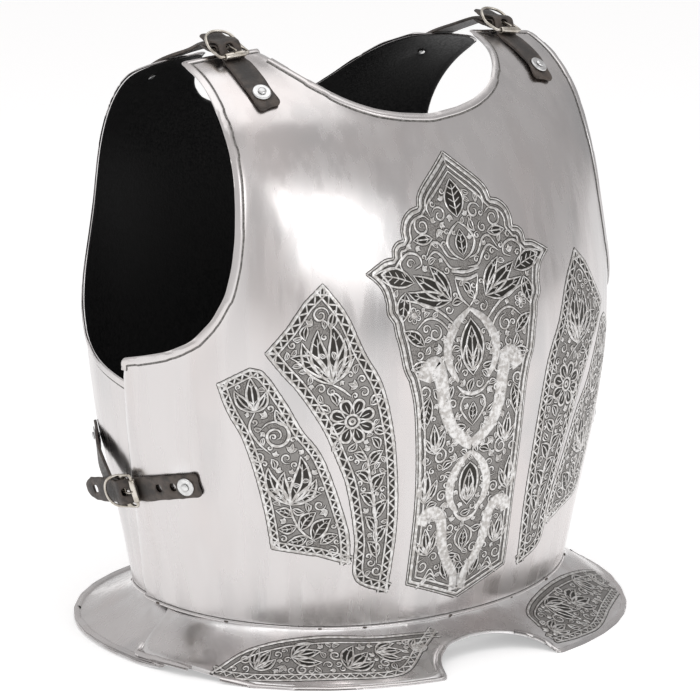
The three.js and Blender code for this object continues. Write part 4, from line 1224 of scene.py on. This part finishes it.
panels["waist_right"] = draw_waist(
    [(137, -22), (127, -68), (109, -109), (92, -153), (89, -184)],
    [(137, -22), (151, -44), (168, -76), (152, -116), (127, -154), (104, -177), (89, -184)],
    [(144, -48, 8), (146, -72, 12), (138, -98, 14), (122, -126, 13), (103, -153, 11)], 21)
panels["waist_left"] = draw_waist(
    [(79, 172), (114, 94), (135, 61), (154, 57)],
    [(110, 172), (136, 140), (162, 108), (172, 80), (175, 57)],
    [(95, 160, 9), (110, 138, 13), (125, 115, 14), (140, 90, 16), (156, 70, 10)], 22)

# %% [markdown]
# ### The etched finishes
# The ground is dull and grainy, because acid leaves steel pitted. The ridge's material reads its
# UV map: dark at the feet, which is painted shade together with the etcher's blackening, bright on
# the top, and rubbed through in places where the polish has gone. The band's top is hatched by thin
# dark lines across it.

# %% Etched finishes
etched, tree, shader = new_material("etched ground", metallic=0.85)
pits = use_effect(tree, grain, Grain_Scale=1100)
marks = use_effect(tree, polish, Streak_Scale=90, Cloud_Scale=60)
dark_ground = mix_colours(tree, pits["Grain"], (0.12, 0.113, 0.107), (0.36, 0.345, 0.33))
dark_ground = mix_colours(tree, marks["Clouds"], dark_ground, (0.30, 0.29, 0.28))
paint(tree, shader, dark_ground, pits["Grain"], 0.42, 0.6)
add_bump(tree, shader, pits["Pores"], 0.5, 0.0003)


# Colour of a ridge's feet: painted shade along the base of each line, with the etcher's blackening.
FEET_SHADE_AND_BLACKENING = (0.05, 0.047, 0.043)
TOP_BRIGHT = (0.80, 0.79, 0.78)
HATCH_DARK = (0.34, 0.33, 0.315)


def ridge_finish(name, worn, cloud_scale, roughness, hatched=False):
    material, tree, shader = new_material(name, metallic=1)
    uv = tree.nodes.new("ShaderNodeUVMap")
    uv.uv_map = "ridge"
    split = tree.nodes.new("ShaderNodeSeparateXYZ")
    tree.links.new(uv.outputs["UV"], split.inputs["Vector"])
    # The ramp darkens the ridge's feet and shoulders with painted shade and blackening, and leaves the
    # top bright.
    ramp = tree.nodes.new("ShaderNodeValToRGB")
    stops = ramp.color_ramp.elements
    stops[0].position, stops[1].position = 0.10, 0.24
    for position, value in ((0.76, 1), (0.90, 0)):
        stops.new(position).color = (value, value, value, 1)
    tree.links.new(split.outputs["X"], ramp.inputs["Fac"])
    marks = use_effect(tree, polish, Streak_Scale=500, Cloud_Scale=cloud_scale)
    top = mix_colours(tree, marks["Clouds"], worn, TOP_BRIGHT)
    if hatched:
        wave = tree.nodes.new("ShaderNodeTexWave")
        wave.bands_direction = "Y"
        for title, value in (("Scale", 1.5), ("Distortion", 0.9), ("Detail", 2), ("Detail Scale", 3)):
            wave.inputs[title].default_value = value
        tree.links.new(uv.outputs["UV"], wave.inputs["Vector"])
        cut = add_range(tree, wave.outputs["Fac"], 0.12, 0.55)
        top = mix_colours(tree, cut, HATCH_DARK, top)
    tone = mix_colours(tree, ramp.outputs["Color"], FEET_SHADE_AND_BLACKENING, top)
    paint(tree, shader, tone, marks["Streaks"], *roughness)
    return material


ridge = ridge_finish("bright etched line", (0.50, 0.48, 0.46), 330, (0.28, 0.45))
band = ridge_finish("hatched etched strap", (0.66, 0.645, 0.63), 50, (0.36, 0.42), hatched=True)
deep = grainy(
    "deeply etched ground", 0.6, 1500, (0.11, 0.104, 0.10), (0.34, 0.325, 0.315), 0.5, 0.7)[0]
GROUND_COLUMNS = {"middle": 48}  # the other panels are narrower and have half as many

total = 0
for panel, sheet in panels.items():
    ground = lay_ground(sheet, "etched_ground_" + panel, GROUND_COLUMNS.get(panel, 24))
    lines = raise_ridges(sheet, "etched_lines_" + panel)
    finish_piece(ground, [etched])
    finish_piece(lines, (ridge, band, deep))
    total += len(lines.data.polygons)
    print(panel, "ground", len(ground.data.polygons), "faces, ridges", len(lines.data.polygons))
print("faces in all ridges:", total)


# %% [markdown]
# ## Straps and fittings
# The straps keep the shape of their solids, rounded by the subdivision, with worn edges. The
# metal fittings are refined in the same way, but a plain subdivision would melt a washer into a
# pill. A crease keeps an edge where it is: on the washers it is set on every edge that turns
# sharply, such as a washer's rim, while the small turns round its outline are left free and become
# a true circle.

# %% Straps and fittings
STRAP_TURN = math.radians(40)
HOLE_EDGE = 0.006  # the edges round a strap's holes are shorter than this, in metres


def crease_sharp(piece, strength, longer=0.0):
    """Creases the sharp edges that are longer than a length."""
    shape = bmesh.new()
    shape.from_mesh(piece.data)
    crease = shape.edges.layers.float.new("crease_edge")
    for line in sharp_lines(shape, SHARP):
        line[crease] = strength if line.calc_length() > longer else 0.0
    shape.to_mesh(piece.data)
    shape.free()


for name in nodes:
    if "strap" in name:
        strap = dressed_copy(name, name + "_dressed")
        mark_edges(strap, STRAP_TURN)
        crease_sharp(strap, 0.5, HOLE_EDGE)
        round_off(strap)
        finish_piece(strap, [leather], name)
    elif "buckle" in name or "rivet" in name or "washer" in name:
        fitting = dressed_copy(name, name + "_dressed")
        if "washer" in name:
            crease_sharp(fitting, 0.8)
        round_off(fitting)
        finish, slot = (nickel, "buckle_nickel") if "buckle" in name else (pale_nickel, "rivet_nickel")
        finish_piece(fitting, [finish], name)
print("straps dressed:", sum("strap" in name for name in nodes))
